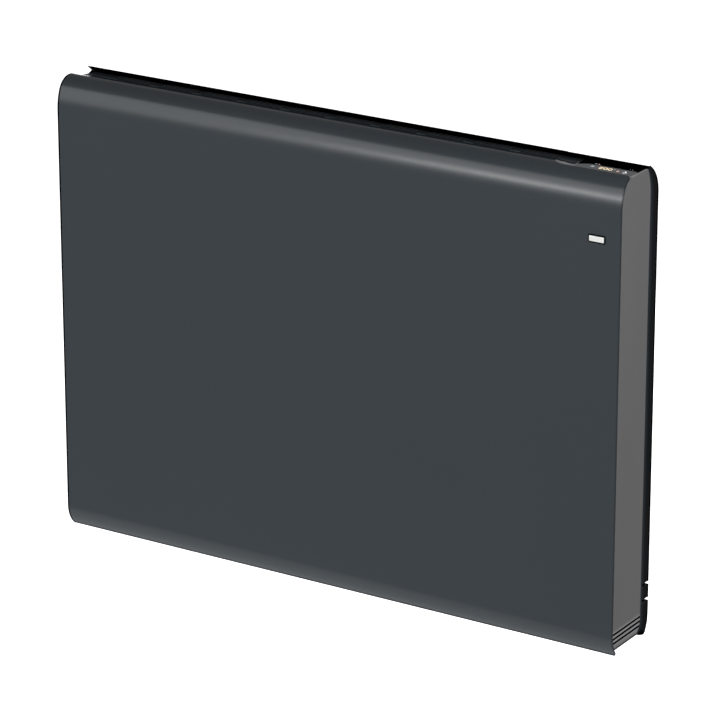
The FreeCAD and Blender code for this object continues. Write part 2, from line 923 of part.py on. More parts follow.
def inlet_grille():
    """The slotted plate that closes the underside and carries the mains switch."""
    body = new_body("inlet_grille")
    low = S.inlet_lift
    front = chin_point(low, S.skin) + S.fit_gap
    back = CAP_FOOT_D + S.skin
    half = HALF - S.cap_reach
    plate = top_sketch(body, low)
    rectangle(plate, (-half, front), (half, back))
    pad(body, plate, S.inlet_board)
    slots_left = S.inlet_left_margin - half
    slots_right = PARTITION_X - S.inlet_right_margin
    pitch = (slots_right - slots_left + S.inlet_web) / S.inlet_bays
    row_front = front + S.inlet_row_margin
    row_back = back - S.inlet_row_margin
    row_pitch = (row_back - row_front - S.inlet_slot_width) / (S.inlet_rows - 1)
    slot = top_sketch(body, low + S.inlet_board)
    rectangle(
        slot,
        (slots_left, row_front),
        (slots_left + pitch - S.inlet_web, row_front + S.inlet_slot_width),
    )
    first = pocket(body, slot, 2 * S.inlet_board)
    row_of(body, first, "X_Axis", pitch, S.inlet_bays, "Y_Axis", row_pitch, S.inlet_rows)
    hole = top_sketch(body, low + S.inlet_board)
    reach = S.switch_length / 2 + S.fit_gap
    side = S.switch_width / 2 + S.fit_gap
    rectangle(
        hole,
        (SWITCH_X - reach, S.switch_d - side),
        (SWITCH_X + reach, S.switch_d + side),
    )
    pocket(body, hole, 2 * S.inlet_board)
    return body


def badge_plate():
    """A bare bright plate on the front, high on the right."""
    return block(
        "badge_plate",
        (BADGE_LEFT, y_at(-S.badge_proud), z_at(BADGE_H)),
        (S.badge_length, S.badge_proud, S.badge_height),
    )


def shell_screws():
    """Screws that hold the rear shell to the end caps' bosses."""
    screws = []
    for side in (-1, 1):
        for number, h in enumerate(boss_heights()):
            name = f"shell_screw_{'left' if side < 0 else 'right'}_{number}"
            start = (boss_x(side), BACK_Y, z_at(h))
            head = rod(f"{name}_head", start, S.screw_head, S.screw_head_height, "+Y")
            shank = rod(f"{name}_shank", start, S.screw_radius, S.screw_length - S.skin, "-Y")
            screws.append(joined(name, [head, shank]))
    return group("shell_screws", screws)


# Control unit


def fascia_height(d):
    """Height of the fascia's top at a depth: it tilts up towards the back."""
    front = S.height - S.fascia_front_drop
    back = S.height - S.fascia_back_drop
    return front + (back - front) * (d - S.fascia_front) / (S.fascia_back - S.fascia_front)


RIGHT_INNER = HALF - S.cap_wall


def display_panel():
    """The satin grey fascia that shows the display, with a lower apron at its left end."""
    body = new_body("display_panel")
    front = S.fascia_front
    back = S.fascia_back
    plate = [
        (front, fascia_height(front) - S.fascia_board),
        (back, fascia_height(back) - S.fascia_board),
        (back, fascia_height(back)),
        (front, fascia_height(front)),
    ]
    pad(body, outline(side_sketch(body, FASCIA_LEFT), plate), RIGHT_INNER - FASCIA_LEFT)
    top = S.height - S.apron_drop
    apron_back = ROOF_END - S.grille_tuck
    apron = [
        (front, top - S.fascia_board),
        (apron_back, top - S.fascia_board),
        (apron_back, top),
        (front, top),
    ]
    reach = FASCIA_LEFT - CUTOUT_LEFT + S.skin
    pad(body, outline(side_sketch(body, FASCIA_LEFT), apron), reach, reverse=True)
    web = [
        (front, top - S.fascia_board),
        (back, top - S.fascia_board),
        (back, fascia_height(back)),
        (front, fascia_height(front)),
    ]
    pad(body, outline(side_sketch(body, FASCIA_LEFT), web), S.skin)
    return body


def control_housing():
    """The glossy black housing behind the fascia, open below for its circuit board."""
    body = new_body("control_housing")
    front = S.fascia_back
    top = S.height - S.fascia_back_drop - S.fit_gap
    base = CONTROL_BASE
    slope = S.control_slope
    profile = [
        (front, base),
        (CONTROL_BACK, base),
        (CONTROL_BACK, top - slope),
        (CONTROL_SHOULDER, top),
        (front, top),
    ]
    length = RIGHT_INNER - CONTROL_LEFT
    pad(body, outline(side_sketch(body, CONTROL_LEFT), profile), length)
    wall = S.control_wall
    hollow = [
        (front + wall, base - wall),
        (CONTROL_BACK - wall, base - wall),
        (CONTROL_BACK - wall, top - slope - wall),
        (CONTROL_SHOULDER - wall, top - wall),
        (front + wall, top - wall),
    ]
    sketch = outline(side_sketch(body, CONTROL_LEFT + wall), hollow)
    pocket(body, sketch, length - 2 * wall, reverse=True)
    return body


def control_board():
    """The board under the control housing's top."""
    clear = S.control_wall + S.fit_gap
    front = S.fascia_back + clear
    return block(
        "control_board",
        (CONTROL_LEFT + clear, y_at(front), z_at(KEY_BASE - S.circuit_board)),
        (
            RIGHT_INNER - CONTROL_LEFT - 2 * clear,
            CONTROL_SHOULDER - clear - front,
            S.circuit_board,
        ),
    )


CONTROL_CEILING = S.height - S.fascia_back_drop - S.fit_gap - S.control_wall
KEY_BASE = CONTROL_CEILING - S.key_height


def touch_contacts():
    """Spring contacts between the board and the housing's touch surface."""
    middle = (S.fascia_back + CONTROL_SHOULDER) / 2
    pieces = []
    for number in range(int(S.key_count.value)):
        start = (KEY_FIRST + number * S.key_pitch, y_at(middle), z_at(KEY_BASE))
        pieces.append(rod(f"touch_contact_{number}", start, S.key_radius, S.key_height, "+Z"))
    return group("touch_contacts", pieces)


def display_module():
    """The lit display that sits against the fascia's underside."""
    body = new_body("display_module")
    middle = (S.fascia_front + S.fascia_back) / 2
    front = middle - S.display_width / 2
    back = middle + S.display_width / 2
    base = fascia_height(front) - S.fascia_board - S.display_height
    profile = [
        (front, base),
        (back, base),
        (back, fascia_height(back) - S.fascia_board),
        (front, fascia_height(front) - S.fascia_board),
    ]
    pad(body, outline(side_sketch(body, DISPLAY_LEFT), profile), S.display_length)
    return body


# Heating chamber


def bay_partition():
    """A bent steel wall between the heating chamber and the electronics."""
    body = new_body("bay_partition")
    low = S.inlet_lift + S.inlet_board
    front = S.skin + S.fit_gap
    back = S.depth - S.skin
    top = VALLEY_TOP - S.grille_board
    clear = S.skin + S.fit_gap
    wall = [
        (chin_point(low, clear), low),
        (front, S.chin_rise, S.chin_radius - clear, "right"),
        (front, SHOULDER_H),
        (front + S.crest_depth, top),
        (CAP_DEPTH, top),
        (back, LIP_CENTRE_H),
        (back, low + S.foot_radius),
        (CAP_FOOT_D, low),
    ]
    pad(body, outline(side_sketch(body, PARTITION_X), wall), S.skin)
    foot = front_sketch(body, back)
    rectangle(foot, (PARTITION_X, S.boss_low), (PARTITION_X + S.partition_foot, BOSS_TOP))
    pad(body, foot, S.skin)
    return body


def heating_element():
    """An aluminium tube with a row of waisted fins, cast in one piece."""
    body = new_body("heating_element")
    d = ELEMENT_D
    h = S.element_lift
    tube = circle(side_sketch(body, ELEMENT_LEFT), (d, h), S.element_tube)
    circle(tube, (d, h), S.rod_radius + S.fit_gap / 2)
    pad(body, tube, ELEMENT_LENGTH)
    reach = S.fin_depth / 2
    rise = S.fin_height / 2
    waist = reach - S.fin_notch
    throat = rise - S.fin_notch
    fin = [
        (d - reach, h - rise),
        (d, h - throat),
        (d + reach, h - rise),
        (d + waist, h),
        (d + reach, h + rise),
        (d, h + throat),
        (d - reach, h + rise),
        (d - waist, h),
    ]
    sketch = outline(side_sketch(body, ELEMENT_LEFT + S.fin_margin), fin)
    circle(sketch, (d, h), S.rod_radius + S.fit_gap / 2)
    first = pad(body, sketch, S.fin_board)
    row_of(body, first, "X_Axis", FIN_PITCH, S.fin_count)
    return body


def heating_rod():
    """The sheathed rod through the element, with its cold ends."""
    start = (ELEMENT_LEFT - S.rod_overhang, y_at(ELEMENT_D), z_at(S.element_lift))
    return rod("heating_rod", start, S.rod_radius, ELEMENT_LENGTH + 2 * S.rod_overhang, "+X")


HANGER_X = {
    "left": ELEMENT_LEFT - S.bush_length / 2 - S.hanger_board / 2,
    "right": ELEMENT_LEFT + ELEMENT_LENGTH + S.bush_length / 2 - S.hanger_board / 2,
}


def element_bushes():
    """Ceramic bushes that carry the rod's ends in their hangers."""
    pieces = []
    for side in HANGER_X:
        start = (
            HANGER_X[side] - (S.bush_length - S.hanger_board) / 2,
            y_at(ELEMENT_D),
            z_at(S.element_lift),
        )
        core = rod(f"bush_core_{side}", start, S.bush_step, S.bush_length, "+X")
        collar_start = (HANGER_X[side] + S.hanger_board,) + start[1:]
        collar_length = (S.bush_length - S.hanger_board) / 2
        collar = rod(f"bush_collar_{side}", collar_start, S.bush_radius, collar_length, "+X")
        bore = rod(f"bush_bore_{side}", start, S.rod_radius + S.fit_gap / 2, S.bush_length, "+X")
        pieces.append(cut(f"bush_{side}", joined(f"bush_blank_{side}", [core, collar]), [bore]))
    return group("element_bushes", pieces)


def element_hanger(side):
    """A bent plate from the rear shell that carries one end of the element."""
    body = new_body(f"element_hanger_{side}")
    d = ELEMENT_D
    h = S.element_lift
    back = S.depth - S.skin
    plate = side_sketch(body, HANGER_X[side])
    rectangle(plate, (d - S.hanger_half, h - S.hanger_half), (back, h + S.hanger_half))
    circle(plate, (d, h), S.bush_step + S.fit_gap / 2)
    pad(body, plate, S.hanger_board)
    foot = front_sketch(body, back)
    first = HANGER_X[side]
    if side == "left":
        ends = (first + S.hanger_board - S.hanger_foot, first + S.hanger_board)
    else:
        ends = (first, first + S.hanger_foot)
    rectangle(foot, (ends[0], h - S.hanger_half), (ends[1], h + S.hanger_half))
    pad(body, foot, S.hanger_board)
    return body


def heat_shield():
    """A bright sheet behind the element that keeps the rear shell cool."""
    body = new_body("heat_shield")
    back = S.depth - S.skin
    face = SHIELD_D
    board = S.shield_board
    low = S.shield_low
    high = S.shield_high
    lip = S.shield_lip
    profile = [
        (back - board, low - lip),
        (back, low - lip),
        (back, low + board),
        (face + board, low + board),
        (face + board, high - board),
        (back, high - board),
        (back, high + lip),
        (back - board, high + lip),
        (back - board, high),
        (face, high),
        (face, low),
        (back - board, low),
    ]
    left = HANGER_X["left"] + S.hanger_board + S.fit_gap
    right = HANGER_X["right"] - S.fit_gap
    pad(body, outline(side_sketch(body, left), profile), right - left)
    return body


def thermal_cutout():
    """The bimetal safety switch above the element, facing it, with its two tags."""
    x = S.cutout_switch_x
    d = ELEMENT_D
    h = S.cutout_switch_lift
    radius = S.cutout_switch_radius
    can = rod("cutout_can", (x, y_at(d), z_at(h)), radius, S.cutout_switch_height, "+Z")
    tags = []
    for number, side in enumerate((-1, 1)):
        low = (
            x + side * radius / 2 - S.skin,
            y_at(d) - S.skin / 4,
            z_at(h + S.cutout_switch_height),
        )
        tags.append(block(f"cutout_tag_{number}", low, (2 * S.skin, S.skin / 2, radius)))
    return joined("thermal_cutout", [can] + tags)


def cutout_bracket():
    """The arm that holds the safety switch out from the heat shield."""
    body = new_body("cutout_bracket")
    x = S.cutout_switch_x
    h = S.cutout_switch_lift
    half = S.cutout_arm / 2
    back = SHIELD_D
    arm = top_sketch(body, h)
    rectangle(arm, (x - half, ELEMENT_D - half), (x + half, back))
    pad(body, arm, S.skin, reverse=True)
    foot = front_sketch(body, back)
    rectangle(foot, (x - half, h - half), (x + half, h))
    pad(body, foot, S.skin)
    return body


# Electronics bay

BOARD_BACK = S.depth - S.skin - S.pillar_height
BOARD_FRONT = BOARD_BACK - S.circuit_board


def board_pillars():
    """Pillars between the rear shell and the power board."""
    pieces = []
    far_x = BOARD_LEFT + S.board_length - S.pillar_inset
    far_h = S.board_low + S.board_height - S.pillar_inset
    for i, x in enumerate((BOARD_LEFT + S.pillar_inset, far_x)):
        for j, h in enumerate((S.board_low + S.pillar_inset, far_h)):
            start = (x, y_at(BOARD_BACK), z_at(h))
            pieces.append(
                rod(f"board_pillar_{i}{j}", start, S.pillar_radius, S.pillar_height, "+Y")
            )
    return group("board_pillars", pieces)


def power_board():
    return block(
        "power_board",
        (BOARD_LEFT, y_at(BOARD_FRONT), z_at(S.board_low)),
        (S.board_length, S.circuit_board, S.board_height),
    )


def power_heatsink():
    """A finned extrusion on the power board."""
    body = new_body("power_heatsink")
    left = BOARD_LEFT + S.pillar_inset
    low = S.board_low + S.board_height - S.pillar_inset * 3 - S.sink_height
    base = top_sketch(body, low)
    rectangle(base, (left, BOARD_FRONT - S.sink_base), (left + S.sink_length, BOARD_FRONT))
    pad(body, base, S.sink_height)
    fin = top_sketch(body, low)
    tip = BOARD_FRONT - S.sink_base - S.sink_fin
    rectangle(fin, (left, tip), (left + S.sink_fin_board, BOARD_FRONT - S.sink_base))
    first = pad(body, fin, S.sink_height)
    pitch = (S.sink_length - S.sink_fin_board) / (S.sink_fin_count - 1)
    row_of(body, first, "X_Axis", pitch, S.sink_fin_count)
    return body


def power_relay():
    left = BOARD_LEFT + S.board_length - S.pillar_inset - S.relay_length
    return block(
        "power_relay",
        (left, y_at(BOARD_FRONT - S.relay_depth), z_at(S.board_low + 3 * S.pillar_inset)),
        (S.relay_length, S.relay_depth, S.relay_height),
    )


def mains_choke():
    """The wound ring that filters the mains."""
    x = BOARD_LEFT + S.pillar_inset + S.choke_radius
    h = S.board_low + 3 * S.pillar_inset + S.choke_radius
    start = (x, y_at(BOARD_FRONT), z_at(h))
    ring = rod("choke_ring", start, S.choke_radius, S.choke_height, "-Y")
    bore = rod("choke_bore", start, S.choke_bore, S.choke_height, "-Y")
    return cut("mains_choke", ring, [bore])


def terminal_block():
    """The mains terminals, one screw well to a pole, on the rear shell."""
    length = S.terminal_pitch * S.terminal_poles
    back = S.depth - S.skin
    front = back - S.terminal_depth
    body = block(
        "terminal_body",
        (TERMINAL_LEFT, y_at(front), z_at(S.terminal_lift)),
        (length, S.terminal_depth, S.terminal_height),
    )
    wells = []
    for number in range(int(S.terminal_poles.value)):
        x = TERMINAL_LEFT + S.terminal_pitch * (number + 0.5)
        start = (x, y_at(front), z_at(S.terminal_lift + S.terminal_height / 2))
        wells.append(rod(f"terminal_well_{number}", start, S.terminal_screw, S.terminal_depth / 2, "+Y"))
    return cut("terminal_block", body, wells)


def cable_gland():
    """The empty mains inlet through the rear shell, with its lock nut inside."""
    x = GLAND_X
    h = S.gland_lift
    inside = y_at(S.depth - S.skin - S.gland_nut_height)
    length = S.gland_nut_height + S.skin + S.gland_reach
    barrel = rod("gland_barrel", (x, inside, z_at(h)), S.gland_radius, length, "+Y")
    nut = rod("gland_nut_blank", (x, inside, z_at(h)), S.gland_nut, S.gland_nut_height, "+Y")
    collar = rod("gland_collar", (x, BACK_Y, z_at(h)), S.gland_nut, S.gland_reach / 2, "+Y")
    bore = rod("gland_bore", (x, inside, z_at(h)), S.gland_bore, length, "+Y")
    return cut("cable_gland", joined("gland_blank", [barrel, nut, collar]), [bore])


def sensor_holder():
    """A clip on the right cap's face that holds the room sensor behind the vents."""
    clear = HALF - S.cap_wall
    low = S.sensor_lift + S.vent_pitch * 2
    return block(
        "sensor_holder",
        (clear - S.sensor_arm, y_at(S.sensor_depth - S.sensor_radius * 2), z_at(low)),
        (S.sensor_arm, S.sensor_radius * 4, S.cap_wall),
    )


def room_sensor():
    """The bead that reads the room's air, hung from its holder."""
    x = HALF - S.cap_wall - S.sensor_arm / 2
    low = S.sensor_lift + S.vent_pitch * 2
    return rod(
        "room_sensor",
        (x, y_at(S.sensor_depth), z_at(low)),
        S.sensor_radius,
        S.sensor_length,
        "-Z",
    )


def earth_terminal():
    """The earth stud through the rear shell, with a nut inside."""
    x = EARTH_X
    h = S.earth_lift
    inside = y_at(S.depth - S.skin)
    stud = rod("earth_stud", (x, BACK_Y, z_at(h)), S.earth_radius, S.earth_length, "-Y")
    nut = rod("earth_nut_blank", (x, inside, z_at(h)), S.earth_nut, S.earth_nut_height, "-Y")
    head = rod("earth_head", (x, BACK_Y, z_at(h)), S.earth_nut, S.earth_nut_height / 2, "+Y")
    return joined("earth_terminal", [stud, nut, head])


# Mains switch on the underside

SWITCH_TOP = S.inlet_lift + S.inlet_board
PIVOT_H = S.inlet_lift


def switch_housing():
    """The rocker's frame: a rim under the plate and an open box above it."""
    body = new_body("switch_housing")
    x = SWITCH_X
    d = S.switch_d
    half = S.switch_length / 2
    side = S.switch_width / 2
    rim = top_sketch(body, S.inlet_lift)
    out = S.switch_rim
    rectangle(rim, (x - half - out, d - side - out), (x + half + out, d + side + out))
    pad(body, rim, S.switch_rim_height, reverse=True)
    box = top_sketch(body, S.inlet_lift)
    rectangle(box, (x - half, d - side), (x + half, d + side))
    pad(body, box, S.switch_body_height)
    well = top_sketch(body, S.inlet_lift - S.switch_rim_height)
    wall = S.switch_wall
    rectangle(well, (x - half + wall, d - side + wall), (x + half - wall, d + side - wall))
    pocket(body, well, S.switch_rim_height + S.switch_body_height - wall, reverse=True)
    pins = front_sketch(body, d)
    circle(pins, (x, PIVOT_H), S.rocker_pin + S.rocker_pin_gap)
    pocket(body, pins, S.switch_width + 2 * out, both_ways=True)
    return body


def mains_rocker():
    """The rocker key on its two pivot pins; at rest its left wing is pressed in."""
    body = new_body("mains_rocker")
    x = SWITCH_X
    half = S.switch_length / 2 - S.switch_wall - S.rocker_gap
    side = S.switch_width / 2 - S.switch_wall - S.rocker_side_gap
    face = PIVOT_H - S.rocker_stand
    lean = half * sine(S.rocker_swing) / cosine(S.rocker_swing)
    key = [
        (x - half, face + lean),
        (x, face),
        (x + half, face - lean),
        (x + half, PIVOT_H + S.rocker_pin - lean),
        (x, PIVOT_H + S.rocker_stand),
        (x - half, PIVOT_H + S.rocker_pin + lean),
    ]
    sketch = outline(front_sketch(body, S.switch_d), key)
    pad(body, sketch, 2 * side, both_ways=True)
    pin = circle(front_sketch(body, S.switch_d), (x, PIVOT_H), S.rocker_pin)
    pad(body, pin, S.switch_width, both_ways=True)
    return body


# Wall bracket, hinge and locks

PLATE_Y = -S.bracket_board
HINGE_Y = -S.hinge_gap
HINGE_Z = z_at(S.hinge_lift)


def wall_bracket():
    """A flanged steel plate on the wall with a window, four slotted holes and two hinge ears."""
    body = new_body("wall_bracket")
    half = S.bracket_half
    plate = wall_sketch(body, 0)
    rectangle(plate, (-half, -BRACKET_FOOT), (half, BRACKET_TOP))
    rectangle(plate, (-S.window_half, -S.window_bottom), (S.window_half, S.window_top))
    pad(body, plate, S.bracket_board)
    flanges = wall_sketch(body, 0)
    for side in (-1, 1):
        ends = sorted((side * half, side * (half - S.bracket_board)), key=lambda size: size.value)
        rectangle(flanges, (ends[0], -BRACKET_FOOT), (ends[1], BRACKET_TOP))
    pad(body, flanges, S.bracket_flange)
    slots = wall_sketch(body, 0)
    reach = (S.wall_slot_length - S.wall_slot_width) / 2
    radius = S.wall_slot_width / 2
    for side in (-1, 1):
        for level in (-1, 1):
            x = side * S.wall_screw_x / 2
            z = level * S.wall_screw_z / 2
            outline(
                slots,
                [
                    (x - reach, z - radius, radius, "left"),
                    (x + reach, z - radius),
                    (x + reach + radius, z, radius, "left"),
                    (x + reach, z + radius, radius, "left"),
                    (x - reach, z + radius),
                    (x - reach - radius, z, radius, "left"),
                ],
            )
    pocket(body, slots, 2 * S.bracket_board, both_ways=True)
    for side in (-1, 1):
        ear = new_sketch(body, "YZ_Plane", (0, 0, side * S.hinge_x - S.ear_board / 2))
        front = HINGE_Y - S.ear_front
        rectangle(ear, (front, HINGE_Z - S.ear_half), (PLATE_Y / 2, HINGE_Z + S.ear_half))
        circle(ear, (HINGE_Y, HINGE_Z), S.hinge_radius)
        pad(body, ear, S.ear_board)
    return body


def hinge_pins():
    """Two steel pins riveted through the bracket's ears."""
    pieces = []
    for side, name in ((-1, "left"), (1, "right")):
        start = (side * S.hinge_x + side * S.ear_board / 2, HINGE_Y, HINGE_Z)
        direction = "-X" if side > 0 else "+X"
        pieces.append(
            rod(f"hinge_pin_{name}", start, S.hinge_radius, S.hinge_pin_length, direction)
        )
    return group("hinge_pins", pieces)


def hanger_hook(side, name):
    """A hook on the rear shell that drops over a hinge pin."""
    body = new_body(f"hanger_hook_{name}")
    radius = S.hinge_radius + S.hinge_play
    web_x = side * (S.hinge_x - S.ear_board / 2 - S.hook_space - S.hook_board / 2)
    back = HINGE_Y + S.hook_back
    low = HINGE_Z - S.hook_mouth
    web = [
        (BACK_Y, low),
        (HINGE_Y - radius, low),
        (HINGE_Y - radius, HINGE_Z),
        (HINGE_Y, HINGE_Z + radius, radius, "right"),
        (HINGE_Y + radius, HINGE_Z, radius, "right"),
        (HINGE_Y + radius, low),
        (back, low),
        (back, HINGE_Z + radius),
        (HINGE_Y, HINGE_Z + S.hook_top),
        (BACK_Y, HINGE_Z + S.hook_top),
    ]
    sketch = new_sketch(body, "YZ_Plane", (0, 0, web_x - S.hook_board / 2))
    pad(body, outline(sketch, web), S.hook_board)
    foot = wall_sketch(body, BACK_Y + S.bracket_board)
    inner = web_x - side * S.hook_foot_width
    ends = sorted((web_x, inner), key=lambda size: size.value)
    rectangle(foot, (ends[0], HINGE_Z + radius), (ends[1], HINGE_Z + S.hook_top))
    pad(body, foot, S.bracket_board)
    return body


LOCK_FRONT = PLATE_Y - S.lock_offset - S.lock_board
LOCK_BACK = PLATE_Y - S.lock_offset


def lock_studs():
    """Shouldered studs on the bracket that the lock levers turn on."""
    pieces = []
    for side, name in ((-1, "left"), (1, "right")):
        x = side * S.lock_x
        shoulder = rod(
            f"lock_shoulder_{name}", (x, PLATE_Y, LOCK_Z), S.lock_stud_head,
            S.lock_offset - S.lock_play, "-Y",
        )
        core_length = S.lock_offset + S.lock_board + S.lock_play + S.lock_stud_head_height
        core = rod(f"lock_core_{name}", (x, PLATE_Y, LOCK_Z), S.lock_stud, core_length, "-Y")
        head = rod(
            f"lock_head_{name}", (x, LOCK_FRONT - S.lock_play, LOCK_Z), S.lock_stud_head,
            S.lock_stud_head_height, "-Y",
        )
        pieces.append(joined(f"lock_stud_{name}", [shoulder, core, head]))
    return group("lock_studs", pieces)


def arm_corners(pivot, angle, length, half):
    """The four corners of a lever's arm that leaves the pivot at an angle."""
    along = (cosine(angle), sine(angle))
    corners = []
    for reach, side in ((0, -1), (1, -1), (1, 1), (0, 1)):
        corners.append(
            tuple(
                start + reach * length * forward + side * half * across
                for start, forward, across in zip(pivot, along, (-along[1], along[0]))
            )
        )
    return corners


def lock_lever(side, name):
    """A flat lever whose nose swings behind the keeper; at rest it stands open."""
    body = new_body(f"lock_lever_{name}")
    pivot = (side * S.lock_x, LOCK_Z)
    nose_angle = 90 + side * (90 - S.lock_swing)
    handle_angle = 90 - side * S.lock_swing
    disc = wall_sketch(body, LOCK_BACK)
    circle(disc, pivot, S.lock_boss)
    pad(body, disc, S.lock_board)
    for angle, length in ((nose_angle, S.lock_nose), (handle_angle, S.lock_handle)):
        arm = wall_sketch(body, LOCK_BACK)
        outline(arm, arm_corners(pivot, angle, length, S.lock_half_width))
        pad(body, arm, S.lock_board)
    bore = circle(wall_sketch(body, LOCK_BACK), pivot, S.lock_stud + S.lock_play)
    pocket(body, bore, 2 * S.lock_board, both_ways=True)
    return body


def lock_keeper(side, name):
    """A bent tab on the rear shell: its lip lies behind the lever's nose when that is locked."""
    body = new_body(f"lock_keeper_{name}")
    middle = side * (S.lock_x - S.lock_nose + S.keeper_width / 2)
    half = S.keeper_width / 2
    low = LOCK_Z - S.keeper_height / 2 - S.keeper_board
    lip_back = LOCK_BACK + S.keeper_play + S.keeper_board
    board = S.keeper_board
    profile = [
        (BACK_Y, low - S.keeper_foot),
        (BACK_Y + board, low - S.keeper_foot),
        (BACK_Y + board, low),
        (lip_back, low),
        (lip_back, LOCK_Z + S.keeper_height / 2),
        (lip_back - board, LOCK_Z + S.keeper_height / 2),
        (lip_back - board, low + board),
        (BACK_Y, low + board),
    ]
    sketch = new_sketch(body, "YZ_Plane", (0, 0, middle - half))
    pad(body, outline(sketch, profile), S.keeper_width)
    return body


def wall_buffers():
    """Rubber buffers on the rear shell that rest against the bracket."""
    pieces = []
    for side, name in ((-1, "left"), (1, "right")):
        start = (side * S.buffer_x, BACK_Y, S.buffer_z)
        length = S.wall_gap - S.bracket_board - S.buffer_play
        pieces.append(rod(f"wall_buffer_{name}", start, S.buffer_radius, length, "+Y"))
    return group("wall_buffers", pieces)


NODES = [
    front_shell(),
    rear_shell(),
    left_end_cap(),
    right_end_cap(),
    outlet_grille(),
    inlet_grille(),
    badge_plate(),
    shell_screws(),
    display_panel(),
    control_housing(),
    control_board(),
    touch_contacts(),
    display_module(),
    bay_partition(),
    heating_element(),
    heating_rod(),
    element_bushes(),
    element_hanger("left"),
    element_hanger("right"),
    heat_shield(),
    thermal_cutout(),
    cutout_bracket(),
    board_pillars(),
    power_board(),
    power_heatsink(),
    power_relay(),
    mains_choke(),
    terminal_block(),
    cable_gland(),
    sensor_holder(),
    room_sensor(),
    earth_terminal(),
    switch_housing(),
    mains_rocker(),
    wall_bracket(),
    hinge_pins(),
    hanger_hook(-1, "left"),
    hanger_hook(1, "right"),
    lock_studs(),
    lock_lever(-1, "left"),
    lock_lever(1, "right"),
    lock_keeper(-1, "left"),
    lock_keeper(1, "right"),
    wall_buffers(),
]

doc.recompute()

failed = [item.Name for item in doc.Objects if "Invalid" in item.State or "Error" in item.State]
if failed:
    raise RuntimeError(f"these objects failed: {failed}")
for item in doc.Objects:
    if item.TypeId == "PartDesign::Pocket":
        if item.Shape.Volume >= item.BaseFeature.Shape.Volume - 1e-3:
            raise RuntimeError(f"{item.Name} cuts nothing")
for node in NODES:
    if node.Shape.isNull() or not node.Shape.isValid():
        raise RuntimeError(f"{node.Label} has no valid shape")

os.makedirs("parts", exist_ok=True)
for node in NODES:
    node.Shape.exportStep(os.path.join("parts", f"{node.Label}.step"))
    box = node.Shape.BoundBox
    print(
        f"{node.Label}: {len(node.Shape.Solids)} solid(s), {node.Shape.Volume / 1000:.2f} cm3, "
        f"x {box.XMin:.1f}..{box.XMax:.1f}, y {box.YMin:.1f}..{box.YMax:.1f}, "
        f"z {box.ZMin:.1f}..{box.ZMax:.1f}"
    )
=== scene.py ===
# %% [markdown]
# # A slim wall-hung convector, dressed for its picture
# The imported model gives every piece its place. This lesson loads it, gives each finish a recipe
# of shader nodes, and rebuilds with numpy the pieces whose bends and edges catch the light.
# Everything is in metres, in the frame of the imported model: +X to the right, +Y to the wall, +Z up.

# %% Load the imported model
import json

import bmesh
import bpy
import numpy as np
from mathutils import Matrix


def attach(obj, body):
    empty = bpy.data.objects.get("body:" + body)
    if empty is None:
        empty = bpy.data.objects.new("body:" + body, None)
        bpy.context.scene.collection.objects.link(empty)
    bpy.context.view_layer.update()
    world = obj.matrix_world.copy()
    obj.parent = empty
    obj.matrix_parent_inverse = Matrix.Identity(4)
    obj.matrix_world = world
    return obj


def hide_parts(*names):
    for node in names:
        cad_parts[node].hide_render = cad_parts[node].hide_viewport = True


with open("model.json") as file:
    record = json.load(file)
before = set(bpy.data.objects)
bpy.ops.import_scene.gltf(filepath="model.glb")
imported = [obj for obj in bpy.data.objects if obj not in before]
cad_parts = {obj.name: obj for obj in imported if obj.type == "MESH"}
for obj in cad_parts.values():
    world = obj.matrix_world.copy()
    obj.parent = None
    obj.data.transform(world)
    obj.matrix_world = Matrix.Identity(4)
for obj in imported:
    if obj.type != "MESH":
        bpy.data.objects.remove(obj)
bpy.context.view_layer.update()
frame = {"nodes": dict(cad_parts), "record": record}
nodes = frame["nodes"]

# %% [markdown]
# ## The heater's own measures
# A maker reads this heater in millimetres: x from the middle, d backwards from the flat front,
# h upwards from the lowest edge. Two functions turn such measures into places in the frame.

# %% Measures
MM = 0.001
HALF, HEIGHT, DEPTH, SKIN = 302.0, 450.0, 66.6, 1.2
FRONT_Y, BASE_Z = -87.5, -225.0
BACK_Y = DEPTH + FRONT_Y


def spread(x, y, z):
    """Points in metres from three arrays of millimetres, each stretched over the others."""
    return np.stack(np.broadcast_arrays(x, y, z), axis=-1) * MM


def place(x, d, h):
    """Points in the frame: x stays, d counts from the front plane and h from the lowest edge."""
    return spread(x, np.add(d, FRONT_Y), np.add(h, BASE_Z))


print("front plane at", place(0, 0, 0)[1], "m")

# %% [markdown]
# ## Shader maths that reads like maths
# A finish is a small net of nodes. Wrapping a socket in a class lets us write `0.8 + 0.2 * mask` and
# have the Math nodes added for us. Every other node goes through one method, `node`. Each finish is
# kept under the name of its slot.

# %% Fields and finishes
DEAD_BLACK = (0.0004, 0.0004, 0.0005, 1.0)
finishes = {}


class Field:
    """A value that varies over a surface. Arithmetic on it adds Math nodes to its finish."""

    def __init__(self, finish, socket):
        self.finish = finish
        self.socket = socket

    def maths(self, operation, other):
        return self.finish.node("ShaderNodeMath", {"operation": operation}, {0: self, 1: other})

    def __add__(self, other):
        return self.maths("ADD", other)

    def __sub__(self, other):
        return self.maths("SUBTRACT", other)

    def __mul__(self, other):
        return self.maths("MULTIPLY", other)

    def __gt__(self, other):
        return self.maths("GREATER_THAN", other)

    __radd__ = __add__
    __rmul__ = __mul__


